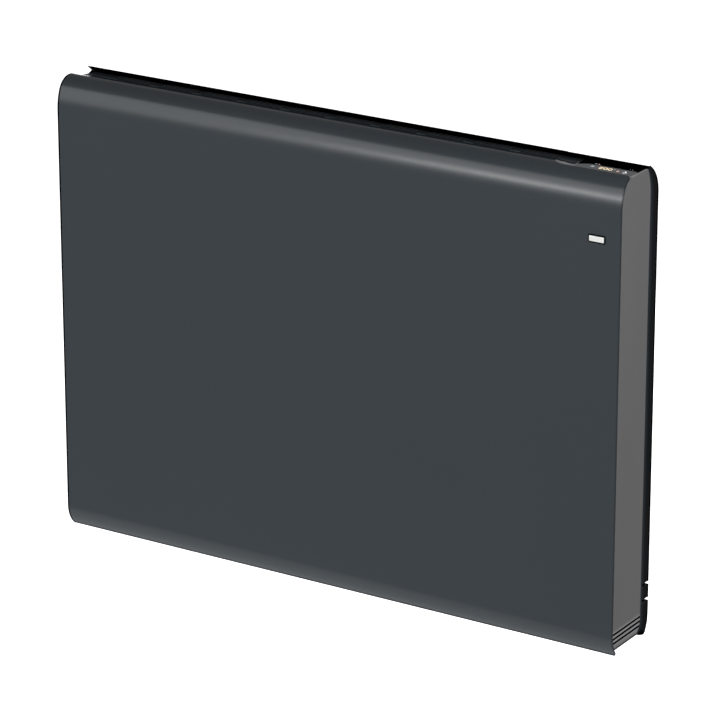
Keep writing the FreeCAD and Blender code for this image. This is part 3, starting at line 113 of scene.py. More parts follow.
class Finish:
    """A material in the making: one Principled shader, its constants, and the nodes that feed it."""

    def __init__(self, name, **constants):
        self.material = bpy.data.materials.new(name)
        self.material.use_nodes = True
        self.tree = self.material.node_tree
        self.shader = self.tree.nodes["Principled BSDF"]
        finishes[name] = self.material
        for words, value in constants.items():
            self.socket(words).default_value = value

    def socket(self, words):
        """The shader's socket that has these words, joined by underscores, as its name."""
        return self.shader.inputs[words.replace("_", " ").title().replace("Ior", "IOR")]

    def node(self, kind, settings=None, sockets=None, output=0):
        """Add a node of a kind, set its settings first, then fill its sockets with values or links."""
        made = self.tree.nodes.new(kind)
        for name, value in (settings or {}).items():
            setattr(made, name, value)
        for name, value in (sockets or {}).items():
            if isinstance(value, Field):
                self.tree.links.new(value.socket, made.inputs[name])
            else:
                made.inputs[name].default_value = value
        return Field(self, made.outputs[output])

    def coordinates(self):
        """Places on the object in its own coordinates."""
        return self.node("ShaderNodeTexCoord", output=3)

    def spots(self, scale, detail=2.0, stretch=(1.0, 1.0, 1.0), rough=0.5):
        """Noise from 0 to 1 on the object's own coordinates: scale is in lumps per metre."""
        stretched = {0: self.coordinates(), 1: stretch}
        where = self.node("ShaderNodeVectorMath", {"operation": "MULTIPLY"}, stretched)
        sockets = {"Vector": where, "Scale": scale, "Detail": detail, "Roughness": rough}
        return self.node("ShaderNodeTexNoise", None, sockets)

    def attribute(self, name):
        """A number that the piece's own mesh carries; it reads 0 where a mesh has none."""
        return self.node("ShaderNodeAttribute", {"attribute_name": name}, output=2)

    def mix(self, share, below, above):
        """A colour that goes from below to above as share goes from 0 to 1; each is plain or a field."""
        below, above = (end if isinstance(end, Field) else (*end, 1.0) for end in (below, above))
        return self.node("ShaderNodeMix", {"data_type": "RGBA"}, {0: share, 6: below, 7: above}, output=2)

    def relief(self, height, depth):
        """A bump of the given depth in metres, for the shader's Normal."""
        return self.node("ShaderNodeBump", None, {"Height": height, "Distance": depth})

    def darken(self, name):
        """Lay a dead black over the shader where the mesh's own number is 1, mostly as painted shade."""
        black = self.node("ShaderNodeBsdfDiffuse", None, {"Color": DEAD_BLACK})
        sockets = {0: self.attribute(name), 1: Field(self, self.shader.outputs[0]), 2: black}
        both = self.node("ShaderNodeMixShader", None, sockets)
        self.tree.links.new(both.socket, self.tree.nodes["Material Output"].inputs["Surface"])

    def feed(self, **links):
        """Link fields to the shader's sockets, named in words with underscores."""
        for words, field in links.items():
            self.tree.links.new(field.socket, self.socket(words))


print("finish helpers ready")

# %% [markdown]
# ## Painted sheet
# The front is steel with a satin anthracite powder coat: nearly even in colour, with a fine orange
# peel that only shows in the highlight. The rear sheet and the bracket have a cheaper, rougher
# black coat. Numbers carried by the mesh say where the colour changes: `rim` is 1 at a cut edge, where
# the coat is worn paler on the front sheet, and elsewhere a painted highlight stands for an edge
# catching the light. A sheen number paints light on the rear flanges, greyer next to the caps, and
# `shade` lays a dead black, mostly as painted shade.


# %% Painted finishes
def powder_coat(name, low, high, gloss, grain_depth, edge, painted_sheen=None, **constants):
    """Two close shades in slow clouds, a peel and a grain of about half a millimetre, a worn rim that also
    carries painted highlights, a painted sheen and painted shade.
    """
    finish = Finish(name, **constants)
    cloud = finish.spots(7.0, detail=3.0)
    peel = finish.spots(700.0, detail=1.0)
    grain = finish.spots(2400.0)
    wear_and_highlight = finish.attribute("rim") * (0.45 + 0.5 * finish.spots(160.0, detail=3.0))
    colour = finish.mix(cloud * 0.6 + grain * 0.4, low, high)
    if painted_sheen:
        colour = finish.mix(finish.attribute("painted_sheen") * (0.85 + 0.15 * cloud), colour, painted_sheen)
    finish.darken("shade")
    finish.feed(
        base_color=finish.mix(wear_and_highlight, colour, edge),
        roughness=gloss + 0.04 * cloud + 0.06 * grain,
        normal=finish.relief(peel * 0.6 + grain * 0.4, grain_depth),
    )


powder_coat(
    "front_enamel", (0.0235, 0.0305, 0.0365), (0.0265, 0.0335, 0.0395), 0.2, 0.00002, (0.05, 0.056, 0.06),
    specular_ior_level=0.5,
)
# The rear coat's edge colour is a painted highlight on the lip's left end and faint wear elsewhere; its sheen
# colour is painted light on the flanges next to the caps.
powder_coat(
    "rear_enamel", (0.0054, 0.0068, 0.0080), (0.0092, 0.0112, 0.0130), 0.42, 0.00004, (0.3, 0.3, 0.3),
    painted_sheen=(0.0112, 0.0165, 0.0215), specular_ior_level=0.2,
)
powder_coat(
    "bracket_enamel", (0.016, 0.018, 0.020), (0.024, 0.026, 0.028), 0.5, 0.00006, (0.05, 0.05, 0.05),
    specular_ior_level=0.35,
)
print("painted finishes:", sorted(finishes))

# %% [markdown]
# ## Moulded plastics
# Caps, grille and small mouldings come out of eroded steel moulds, which leave a fine matt grain.
# Shade drifts a little where the melt flowed, so one slow stretched noise moves the colour and a
# fine one moves the roughness and the surface. Here `rim` lays painted highlights on edges that catch
# the light, and `shade` lays painted shade in slot walls and along feet.

# %% Plastic finishes
DOWN, ALONG, EVEN = (1.0, 1.0, 0.15), (0.1, 1.0, 1.0), (1.0, 1.0, 1.0)


def moulded(name, low, high, gloss, grain_depth, flow=DOWN, grain=3200.0, edge=None, **constants):
    """Two close shades drawn out along the flow, the mould's matt grain, painted highlights on rims and
    painted shade in slot walls.
    """
    finish = Finish(name, **constants)
    drift = finish.spots(26.0, detail=3.0, stretch=flow)
    fine = finish.spots(grain, rough=0.6)
    painted_highlight = finish.attribute("rim") * (0.8 + 0.2 * fine)
    colour = finish.mix(drift * 0.7 + fine * 0.3, low, high)
    finish.darken("shade")
    finish.feed(
        base_color=finish.mix(painted_highlight, colour, edge or high),
        roughness=gloss + 0.08 * fine + 0.05 * drift - 0.04 * painted_highlight,
        normal=finish.relief(fine, grain_depth),
    )


# The edge colours below are painted highlights, laid where a piece marks `rim`.
moulded(
    "cap_plastic", (0.093, 0.093, 0.095), (0.108, 0.108, 0.110), 0.48, 0.00004, edge=(0.36, 0.36, 0.37),
    specular_ior_level=0.4,
)
moulded(
    "grille_plastic", (0.019, 0.025, 0.029), (0.030, 0.037, 0.042), 0.4, 0.00003, ALONG,
    edge=(0.13, 0.14, 0.15),
)
moulded("black_plastic", (0.010, 0.010, 0.011), (0.018, 0.018, 0.019), 0.42, 0.00003)
moulded("white_plastic", (0.60, 0.59, 0.55), (0.72, 0.71, 0.68), 0.45, 0.00003, subsurface_weight=0.05)
moulded("lever_plastic", (0.20, 0.20, 0.20), (0.29, 0.29, 0.285), 0.45, 0.00004, (0.3, 1.0, 0.3))
moulded(
    "fascia_plastic", (0.105, 0.106, 0.110), (0.125, 0.126, 0.130), 0.3, 0.000012, ALONG,
    edge=(0.24, 0.24, 0.25),
)
moulded(
    "control_gloss", (0.0004, 0.0004, 0.0005), (0.0008, 0.0008, 0.0009), 0.12, 0.000002, grain=900.0,
    specular_ior_level=0.0,
)
moulded("buffer_rubber", (0.014, 0.014, 0.014), (0.035, 0.034, 0.033), 0.68, 0.00006, EVEN)
moulded("ceramic", (0.62, 0.59, 0.51), (0.79, 0.77, 0.70), 0.55, 0.00008, EVEN, grain=1500.0)
print("plastic finishes added,", len(finishes), "so far")

# %% [markdown]
# ## Bare and plated metals
# Zinc plating is cloudy, with crystals that differ in shine. Extruded aluminium has die lines along
# its length, and a polished plate has fine brush lines. Brass dulls in patches. All of them are the
# same recipe: a metal whose colour and roughness follow clouds and drawn-out lines.

# %% Metal finishes
LENGTHWISE = (0.03, 1.0, 1.0)


def metal(name, low, high, gloss, lines, line_depth, spread_out=0.2, clouds=60.0, bare=1.0):
    """A metal between two shades, with roughness gloss plus clouds and with drawn lines in the bump."""
    finish = Finish(name, metallic=bare)
    cloud = finish.spots(clouds, detail=4.0, rough=0.65)
    drawn = finish.spots(900.0, detail=3.0, stretch=lines)
    finish.darken("shade")
    finish.feed(
        base_color=finish.mix(cloud * 0.7 + drawn * 0.3, low, high),
        roughness=gloss + spread_out * cloud + 0.1 * drawn,
        normal=finish.relief(drawn, line_depth),
    )


metal("zinc_steel", (0.42, 0.43, 0.44), (0.62, 0.63, 0.64), 0.22, (1.0, 1.0, 0.4), 0.00002, clouds=240.0)
metal("bare_aluminium", (0.62, 0.63, 0.64), (0.76, 0.77, 0.78), 0.24, LENGTHWISE, 0.00002)
metal(
    "bright_plate", (0.84, 0.845, 0.825), (0.92, 0.925, 0.905), 0.22, LENGTHWISE, 0.000006,
    spread_out=0.1, bare=0.45,
)
metal("earth_brass", (0.50, 0.34, 0.12), (0.78, 0.58, 0.26), 0.2, (1.0, 0.1, 1.0), 0.00002, clouds=300.0)
print("metal finishes added,", len(finishes), "so far")

# %% [markdown]
# ## Circuit boards
# A board is green lacquer over copper. The tracks show as slightly raised, slightly paler lines, and
# the edges of a Voronoi texture's cells give a plausible maze of them.

# %% Circuit board finish
board = Finish("circuit_board", coat_weight=0.3)
cell_settings = {"feature": "DISTANCE_TO_EDGE", "distance": "EUCLIDEAN"}
cells = board.node("ShaderNodeTexVoronoi", cell_settings, {"Vector": board.coordinates(), "Scale": 260.0})
copper = (cells * -14.0 + 1.0 > 0.35) * 0.8
lacquer = board.spots(90.0, detail=3.0)
green = board.mix(lacquer, (0.008, 0.055, 0.02), (0.014, 0.08, 0.03))
board.feed(
    base_color=board.mix(copper, green, (0.03, 0.16, 0.06)),
    roughness=0.25 + 0.15 * lacquer,
    normal=board.relief(copper, 0.00004),
)

# %% [markdown]
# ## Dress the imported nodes
# The record says which slot each node has. Nodes whose shape is right keep their mesh and take the
# finish; the others are replaced further down.

# %% Give every node its finish
node_slots = {part["node"]: part["material_slot"] for part in frame["record"]["subparts"]}
for name, node in nodes.items():
    node.data.materials.clear()
    node.data.materials.append(finishes[node_slots[name]])
print("dressed", len(node_slots), "nodes")

# %% [markdown]
# ## Surfaces from arrays
# A bent sheet is a side profile carried along x. The profile is made of straight legs and arcs, as
# whole arrays; a grid of points then becomes a mesh in one call. Solidify gives the sheet its
# thickness inwards and Bevel breaks its cut edges, so that they catch a line of light.

# %% Profiles and grids
SAME_POINT, SMOOTH_TURN, BEVEL_TURN, NUT_SIDES = 0.000004, np.radians(38), np.radians(35), 6


def arc(centre, radius, start, end, count):
    """Points of a circle: the centre plus radius times cosine and sine, from start to end in degrees."""
    turn = np.radians(np.linspace(start, end, count))
    return np.stack([centre[0] + radius * np.cos(turn), centre[1] + radius * np.sin(turn)], axis=-1)


def chain(*runs):
    """Runs end to end, each later one without its first point, which repeats the last one's end."""
    return np.concatenate([runs[0], *(run[1:] for run in runs[1:])])


def unit(vectors):
    """Each vector divided by its own length."""
    return vectors / np.linalg.norm(vectors, axis=1, keepdims=True)


def rounded(points, radius, steps=6, closed=True):
    """A line with rounded corners: each arc touches both sides of its corner; an open line keeps its ends."""
    points = np.asarray(points, float)
    corner = points if closed else points[1:-1]
    before = unit((np.roll(points, 1, axis=0) if closed else points[:-2]) - corner)
    after = unit((np.roll(points, -1, axis=0) if closed else points[2:]) - corner)
    half = np.arccos(np.clip((before * after).sum(axis=1), -1, 1))[:, None] / 2
    radius = np.broadcast_to(radius, len(corner))[:, None]
    centre = corner + unit(before + after) * radius / np.sin(half)
    first = (corner + before * radius / np.tan(half) - centre)[:, None]
    last = (corner + after * radius / np.tan(half) - centre)[:, None]
    sweep = (np.pi - 2 * half)[:, None]
    share = np.linspace(0, 1, steps)[None, :, None]
    spokes = (np.sin((1 - share) * sweep) * first + np.sin(share * sweep) * last) / np.sin(sweep)
    line = (centre[:, None] + spokes).reshape(-1, 2)
    return line if closed else np.concatenate([points[:1], line, points[-1:]])


def box_line(low, high, inset, radius):
    """A rectangle with rounded corners, drawn in by an inset."""
    (x0, y0), (x1, y1) = np.asarray(low) + inset, np.asarray(high) - inset
    return rounded([(x0, y0), (x1, y0), (x1, y1), (x0, y1)], radius)


def wrapped(loops):
    """Loops stacked into a grid whose last column repeats the first, so that it closes round."""
    return np.concatenate([loops, loops[:, :1]], axis=1)


def spun(origin, axis, profile, sides=32):
    """A profile of (along, radius) turned about an axis; a third number of 1 makes that row a hexagon."""
    axis = np.asarray(axis, float)
    aside = np.roll(axis, 1)
    turn = np.linspace(0, 2 * np.pi, sides + 1)
    spokes = np.cos(turn)[:, None] * aside + np.sin(turn)[:, None] * np.cross(axis, aside)
    profile = np.array([(*row, 0)[:3] for row in profile], float)
    half = np.pi / NUT_SIDES
    flat = np.cos(half) / np.cos(turn % (2 * half) - half)
    radius = profile[:, 1:2] * (1 + profile[:, 2:3] * (flat - 1))
    along = profile[:, :1, None] * axis
    return (np.asarray(origin, float) + along + radius[..., None] * spokes) * MM


def slab(line, axis, low, high):
    """The wall and the two lids of a flat plate: a closed line in the two other axes, from low to high."""
    loops = np.stack([np.insert(line, axis, level, axis=1) for level in (low, high)]) * MM
    return wrapped(loops), list(loops)


def quads(rows, columns, keep, start):
    """Corner numbers of a grid's faces, row by row; keep is a mask of the faces to leave in, or None."""
    corner = np.arange(rows * columns).reshape(rows, columns) + start
    faces = np.stack([corner[:-1, :-1], corner[:-1, 1:], corner[1:, 1:], corner[1:, :-1]], axis=-1)
    return (faces.reshape(-1, 4) if keep is None else faces[keep]).tolist()


def rounded_edges(made, wall, edge, segments):
    """Give a sheet its wall on the inner side, then round every sharp edge; both in millimetres."""
    if wall:
        skin = made.modifiers.new("wall", "SOLIDIFY")
        skin.thickness = wall * MM
        skin.offset = -1.0
        skin.use_even_offset = True
    if edge:
        bevel = made.modifiers.new("edges", "BEVEL")
        bevel.width = edge * MM
        bevel.segments = segments
        bevel.limit_method = "ANGLE"
        bevel.angle_limit = BEVEL_TURN
        bevel.harden_normals = True


def piece(
    name, slot, body, grids, masks=None, marks=None, lids=(), closed=False, finish=None,
    node=None, wall=0.0, edge=0.0, segments=2,
):
    """One mesh from grids of points and flat lids: doubled points joined, marked, finished, edges rounded."""
    masks = masks or [None] * len(grids)
    sizes = [grid.shape[0] * grid.shape[1] for grid in grids] + [len(lid) for lid in lids]
    starts = np.cumsum([0, *sizes])
    points = np.concatenate([part.reshape(-1, 3) for part in [*grids, *lids]])
    faces = []
    for grid, mask, start in zip(grids, masks, starts):
        faces += quads(grid.shape[0], grid.shape[1], mask, start)
    faces += [list(range(start, start + len(lid))) for lid, start in zip(lids, starts[len(grids):])]
    mesh = bpy.data.meshes.new(name)
    mesh.from_pydata(points, [], faces)
    for mark, values in (marks or {}).items():
        flat = np.concatenate([value.reshape(-1) for value in values]).astype(np.float32)
        mesh.attributes.new(mark, "FLOAT", "POINT").data.foreach_set("value", flat)
    shape = bmesh.new()
    shape.from_mesh(mesh)
    bmesh.ops.remove_doubles(shape, verts=shape.verts, dist=SAME_POINT)
    loose = [point for point in shape.verts if not point.link_faces]
    bmesh.ops.delete(shape, geom=loose, context="VERTS")
    if closed:
        bmesh.ops.recalc_face_normals(shape, faces=shape.faces)
    shape.to_mesh(mesh)
    shape.free()
    mesh.polygons.foreach_set("use_smooth", np.ones(len(mesh.polygons), bool))
    mesh.set_sharp_from_angle(angle=SMOOTH_TURN)
    mesh.materials.append(finishes[finish or slot])
    made = bpy.data.objects.new(name, mesh)
    bpy.context.scene.collection.objects.link(made)
    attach(made, body)
    rounded_edges(made, wall, edge, segments)
    if node:
        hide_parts(node)
    print(name, "has", len(mesh.vertices), "points and", len(mesh.polygons), "faces")


print("surface helpers ready")

# %% [markdown]
# ## The front sheet
# One sheet makes the chin, the flat face, the shoulder and the roof that falls to the outlet. The
# light runs along its bends, so they need many more points than the imported model has. The roof is
# cut away for the controls: rows behind the cut's front edge end earlier, on the cut's round corner.
# Painted shade makes the hem under the chin and a line along the left end dead black, and darkens
# the right end beside the cap and the roof's last row.

# %% Front sheet
CHIN_R, CHIN_RISE, CHIN_CORNER, HEM, HEM_TURN = 30.0, 20.4, 5.0, 2.4, 0.3
SHOULDER_R, CREST_R, CREST_D = 50.0, 17.5, 20.0
ROOF_FALL, ROOF_END, ROOF_R, VALLEY_R = 0.36, 46.0, 6.0, 28.0
CUT_LEFT, CUT_D, CUT_R, SHADED_EDGE = 219.0, 17.2, 14.0, 1.8
WORN, WORN_REACH, END_DARK, ROOF_DARK, END_MARGIN = 0.4, 0.7, 0.35, 0.5, 12.0
CUT_END = CUT_LEFT + CUT_R
CREST_H = HEIGHT - CREST_R
SHOULDER_H = CREST_H - np.sqrt((SHOULDER_R - CREST_R) ** 2 - (SHOULDER_R - CREST_D) ** 2)
CHIN_TURN = 180 + np.degrees(np.arcsin((CHIN_RISE - 0.05) / CHIN_R))
SHOULDER_TURN = 180 - np.degrees(np.arctan2(CREST_H - SHOULDER_H, SHOULDER_R - CREST_D))
ROOF_TURN = np.degrees(np.arctan2(1.0, ROOF_FALL))

crest = arc((CREST_D, CREST_H), CREST_R, SHOULDER_TURN, ROOF_TURN, 60)
valley_start = ROOF_END - VALLEY_R * np.tan(np.radians(90 - ROOF_TURN) / 2)
valley_h = crest[-1, 1] - ROOF_FALL * (valley_start - crest[-1, 0])
valley = arc((ROOF_END, valley_h + VALLEY_R), VALLEY_R, 180 + ROOF_TURN, 270, 8)
chin_end = arc((CHIN_R, CHIN_RISE), CHIN_R, CHIN_TURN, 180, 2)[0]
chin_fall = np.radians(CHIN_TURN - 180)
hem_end = chin_end + HEM * np.array([np.sin(chin_fall), -np.cos(chin_fall)])
chin = arc((CHIN_R, CHIN_RISE), CHIN_R, CHIN_TURN - HEM_TURN, 180, 24)
sheet_profile = chain(
    np.concatenate([np.linspace(hem_end, chin_end, 3), chin]),
    np.linspace((0, CHIN_RISE), (0, SHOULDER_H), 30),
    arc((SHOULDER_R, SHOULDER_H), SHOULDER_R, 180, SHOULDER_TURN, 16),
    crest,
    np.linspace(crest[-1], valley[0], 8),
    valley,
)
print("valley at h =", round(float(valley_h), 2))


def split_at(run, depth):
    """The run before and after a depth in its upper half; both have a point exactly at that depth."""
    after = np.flatnonzero((run[:, 0] > depth) & (run[:, 1] > HEIGHT / 2))[0]
    share = (depth - run[after - 1, 0]) / (run[after, 0] - run[after - 1, 0])
    cut = run[after - 1] + share * (run[after] - run[after - 1])
    return np.concatenate([run[:after], [cut]]), np.concatenate([[cut], run[after:]])


def near_ends(left, right, count=40):
    """Places from left to right that crowd towards both ends, so that a worn rim and a painted dark line stay
    narrow.
    """
    inner = np.linspace(left + END_MARGIN, right - END_MARGIN, count)
    steps = np.array([0, 0.5, SHADED_EDGE - 0.1, SHADED_EDGE + 0.1, 5.0])
    return np.concatenate([left + steps, inner, (right - steps)[::-1]])


def rim_fade(distance):
    """How worn an edge is: most at no distance, falling by e in each reach of it."""
    return WORN * np.exp(-np.abs(distance) / WORN_REACH)


def left_dark(x):
    """Painted shade along the left end, drawn as a dark line: 1 there, 0 further in."""
    return np.where(x + HALF < SHADED_EDGE, 1.0, 0.0)


lower, upper = split_at(sheet_profile, CUT_D)
flat_x = near_ends(-HALF, CUT_END)
in_corner = np.clip(CUT_D + CUT_R - upper[:, 0], 0, CUT_R)
roof_right = (CUT_END - np.sqrt(np.maximum(CUT_R**2 - in_corner**2, 0)))[:, None]
roof_x = -HALF + (flat_x + HALF) / (CUT_END + HALF) * (roof_right + HALF)
flat_x = np.concatenate([flat_x, near_ends(CUT_END, HALF, 6)[1:]])
to_chin = np.linalg.norm(lower - lower[0], axis=1)
in_roof = np.where(lower[:, 1] > SHOULDER_H, np.clip(lower[:, 0] - CUT_D + ROOF_R, 0, ROOF_R), 0)
past_corner = np.maximum(in_roof, np.clip(CHIN_CORNER - to_chin, 0, CHIN_CORNER))
face_right = (HALF - ROOF_R + np.sqrt(ROOF_R**2 - past_corner**2))[:, None]
face_x = flat_x - np.clip(flat_x - CUT_END, 0, None) * (HALF - face_right) / (HALF - CUT_END)
face_rim = rim_fade(np.minimum(face_x + HALF, face_right - face_x))
roof_rim = rim_fade(np.minimum(roof_x + HALF, roof_right - roof_x))
# Painted shade: a dark line along the left end, and a darker last row where the roof meets the valley.
roof_dark = left_dark(roof_x)
roof_dark[-1] = np.maximum(roof_dark[-1], ROOF_DARK)
# Painted shade: the hem under the chin is dead black, and the right end beside the cap is darkened.
face_dark = np.maximum(left_dark(face_x), np.where(to_chin < HEM + 0.01, 1.0, 0.0)[:, None])
face_dark[:, -2:] = np.maximum(face_dark[:, -2:], END_DARK)
piece(
    "front_sheet", "front_enamel", "heater",
    [place(face_x, lower[:, :1], lower[:, 1:]), place(roof_x, upper[:, :1], upper[:, 1:])],
    marks={"rim": [face_rim, roof_rim], "shade": [face_dark, roof_dark]},
    node="front_shell", wall=SKIN, edge=0.3,
)

# %% [markdown]
# ## The rear sheet
# The back is a shallow pressed pan: a curled foot, a flat back, a lip that leans forward over the
# outlet, and two side flanges that meet the end caps. Each row of the grid runs from one flange,
# round the fold, across the back and into the other flange. The coat builds up in a bead along the
# fold. Two slits in the right edge leave a tab that an installer breaks out for the cable, and a mask
# leaves those faces out.

# %% Rear sheet
LIP_R, LIP_REACH, LIP_RISE, LIP_NOTCH = 31.4, 15.9, 0.5, 0.7
BAND, FIT, FOLD_R, BEAD, BEAD_D, BEAD_SOFT = 14.3, 0.2, 0.35, 0.5, 64.8, 0.15
CAP_TOP, CAP_TOP_R, CAP_TOP_LEAN = HEIGHT - 1.6, 53.0, 5.7
CAP_LIFT, CAP_FOOT_R, CAP_FOOT_LEAN, FLANGE_FOOT = 6.0, 19.5, 6.3, 8.0
CAP_D = DEPTH - BAND
FOOT_CORNERS = [(48.2, 6.9), (51.6, 3.5), (60.7, 1.2), (66.2, 12.0), (DEPTH, 24.0), (DEPTH, 29.0)]
FOOT_RADII = [8.0, 4.2, 30.0, 40.0]
SLITS, SLIT_D, SLIT_X = np.array([33.4, 36.6, 49.2, 52.4]), 55.2, 286.0
# OUTLINE_DARK and FOOT_DARK are painted shade: the flanges' outer strip, the bead and the foot's lower edge
# go black.
OUTLINE_DARK = [0.0, 0.15, 0.5, 0.5, 1.0, 1.0, 1.0, 1.0, 1.0, 1.0]
FOOT_ROWS, FOOT_DARK, BARE_RIM, OUTLINE_H = 12, [0.8, 1.0], 0.02, 424.0

foot_line = rounded(FOOT_CORNERS, FOOT_RADII, 7, closed=False)
lip_centre = (DEPTH - LIP_R, HEIGHT + LIP_RISE - np.sqrt(LIP_R**2 - (LIP_R - LIP_REACH) ** 2))
lip_turn = np.degrees(np.arccos((LIP_R - LIP_REACH) / LIP_R))
notch_turn = np.degrees(np.arcsin((HEIGHT + LIP_RISE - LIP_NOTCH - lip_centre[1]) / LIP_R))
top_bend = CAP_TOP - np.sqrt(CAP_TOP_R**2 - (CAP_TOP_R - CAP_TOP_LEAN) ** 2)
foot_bend = CAP_LIFT + np.sqrt(CAP_FOOT_R**2 - (CAP_FOOT_R - CAP_FOOT_LEAN) ** 2)
back_rows = np.concatenate([SLITS, np.linspace(70, 410, 18)])


def lean_over(h, bend, radius):
    """Depth of the caps' upright edge where it leans in on an arc past the height where it begins to bend."""
    past = np.minimum(np.abs(h - bend), radius)
    return CAP_D - radius + np.sqrt(radius**2 - past**2)


def cap_edge(h):
    """Depth of the end cap's rear edge at a height: the lesser of its foot's arc and its head's."""
    foot = lean_over(np.minimum(h, foot_bend), foot_bend, CAP_FOOT_R)
    head = lean_over(np.maximum(h, top_bend), top_bend, CAP_TOP_R)
    return np.minimum(foot, head)


back_h = np.r_[foot_line[-1, 1], back_rows, lip_centre[1]]
lip = [arc(lip_centre, LIP_R, 0, notch_turn, 24), arc(lip_centre, LIP_R, lip_turn, lip_turn, 1)]
outer = chain(foot_line, np.stack([np.full(len(back_h), DEPTH), back_h], axis=1), np.concatenate(lip))
inner_h = np.concatenate([
    np.linspace(FLANGE_FOOT, foot_bend, len(foot_line)), back_rows,
    np.linspace(top_bend, CAP_TOP - LIP_NOTCH, 24), [CAP_TOP],
])
inner = np.stack([cap_edge(inner_h) + FIT, inner_h], axis=-1)
widths = np.linalg.norm(inner - outer, axis=1, keepdims=True)
print("rear sheet rows:", len(outer), "flange widths from", widths.min().round(2))

inward = ((inner - outer) / widths)[:, None]
fold = np.minimum(FOLD_R, 0.45 * widths)
fold_turn = np.radians(np.linspace(0, 90, 7)[1:])
flange_d = np.array([CAP_D + FIT, SLIT_D, 59.0, BEAD_D - BEAD_SOFT, BEAD_D + BEAD_SOFT, DEPTH - FOLD_R])
flange_share = ((flange_d - flange_d[0]) / (flange_d[-1] - flange_d[0]))[:, None]
flange_x = np.tile(HALF + BEAD * np.array([0, 0, 0, 0, 1, 1]), (len(outer), 1))
side_x = np.concatenate([flange_x, HALF + BEAD - fold * (1 - np.cos(fold_turn))], axis=1)
flange_end = outer[:, None] + fold[:, None] * inward
flange = inner[:, None] + flange_share * (flange_end - inner[:, None])
folded = outer[:, None] + (fold * (1 - np.sin(fold_turn)))[..., None] * inward
side = np.concatenate([flange, folded], axis=1)
right_x, left_x = [SLIT_X, 260, CUT_LEFT], [-CUT_LEFT, -260, -SLIT_X, 3.6 - HALF]
back_x = np.concatenate([right_x, np.linspace(190, -190, 13), left_x])
pan = np.concatenate([side, np.repeat(outer[:, None], len(back_x), axis=1), side[:, ::-1]], axis=1)
pan_x = np.concatenate([side_x, np.tile(back_x, (len(outer), 1)), -side_x[:, ::-1]], axis=1)

# The slits, the lip's notch over the controls, and the left flange above the outlet are left out.
side_columns, first_slit = side.shape[1], len(foot_line)
keep = np.ones((pan.shape[0] - 1, pan.shape[1] - 1), bool)
keep[np.ix_([first_slit, first_slit + 2], np.arange(1, side_columns))] = False
keep[-1, :side_columns + 2] = False
keep[inner_h[1:] > valley_h, -5:] = False
# Painted light on the rear sheet: a highlight inside the lip at its left end, a sheen on the flanges next to
# the caps, and painted shade that blackens the lip's inside from OUTLINE_H up.
pan_rim, painted_sheen = np.zeros(pan.shape[:2]), np.zeros(pan.shape[:2])
pan_rim[:, [0, -1]] = BARE_RIM
pan_rim[[0, -1], :] = BARE_RIM
pan_rim[outer[:, 1] > valley_h - 2, -side_columns:-6] = 1.0
painted_sheen[:, :2] = [1.0, 0.6]
painted_sheen[:, -2:] = [0.6, 1.0]
outline = np.repeat(np.clip((outer[:, 1:] - OUTLINE_H) / 10, 0, 1), pan.shape[1], axis=1)
outline[:, -side_columns:] = 0.0
outline[:, :len(OUTLINE_DARK)] = OUTLINE_DARK
outline[:FOOT_ROWS, 2:4] = FOOT_DARK
piece(
    "rear_sheet", "rear_enamel", "heater", [place(pan_x, pan[..., 0], pan[..., 1])], [keep],
    {"rim": [pan_rim], "painted_sheen": [painted_sheen], "shade": [outline]}, node="rear_shell", wall=SKIN, edge=0.25,
)

# %% [markdown]
# ## The end caps
# Each cap is a thin moulded tray: a flat face that follows the sheets' outlines, with a rim turned
# inwards. Painted shade makes a dark line along its foot and dark walls in its air slots; painted
# highlights make pale lines along its top, its front and back edges and round the slots. Rows are
# heights and columns run from the front rim, across the face, to the rear rim. The right cap reaches
# up beside the controls and has three air slots at its foot, left out by a mask. The left one stays
# below the roof, so its top is two more patches that share its corner points.

# %% End caps
CAP_WALL, CAP_REACH, CLEAR = 2.5, 16.0, SKIN + FIT
VENTS = 13.2 + 4.35 * np.arange(3)[:, None] + np.array([-1.15, -1.0, 1.0, 1.15])
FRONT_RIM_TOP, REAR_RIM_TOP, FOOT_LINE = 435.0, 425.0, np.array([0.0, 1.4, 1.5])
SIDE_RIM, VENT_RIM, TOP_RIM = 0.05, 0.4, (1.0, 0.6)
EDGE_STEPS = np.array([0.4, 1.2])
MEET_H = SHOULDER_H + (SHOULDER_R - CLEAR) * np.sin(np.radians(180 - SHOULDER_TURN))


def crest_reach(h):
    """How far the crest's underside is from its centre's depth at a height."""
    return np.sqrt(np.clip((CREST_R - CLEAR) ** 2 - (h - CREST_H) ** 2, 0, None))


def cap_front(h):
    """Depth of a cap's front edge: chin arc, flat, shoulder arc or crest arc, all inside the sheet."""
    chin_arc = CHIN_R - np.sqrt((CHIN_R - CLEAR) ** 2 - np.clip(CHIN_RISE - h, 0, None) ** 2)
    rise = np.clip(h - SHOULDER_H, 0, SHOULDER_R - CLEAR)
    shoulder = SHOULDER_R - np.sqrt((SHOULDER_R - CLEAR) ** 2 - rise**2)
    return np.where(h < HEIGHT / 2, chin_arc, np.where(h < MEET_H, shoulder, CREST_D - crest_reach(h)))


def under_roof(h):
    """Depth where the roof's underside is at a height: crest arc above its end, straight fall below."""
    end = CREST_H + (CREST_R - CLEAR) * np.sin(np.radians(ROOF_TURN))
    end_d = CREST_D + (CREST_R - CLEAR) * np.cos(np.radians(ROOF_TURN))
    return np.where(h > end, CREST_D + crest_reach(h), end_d + (end - h) / ROOF_FALL)


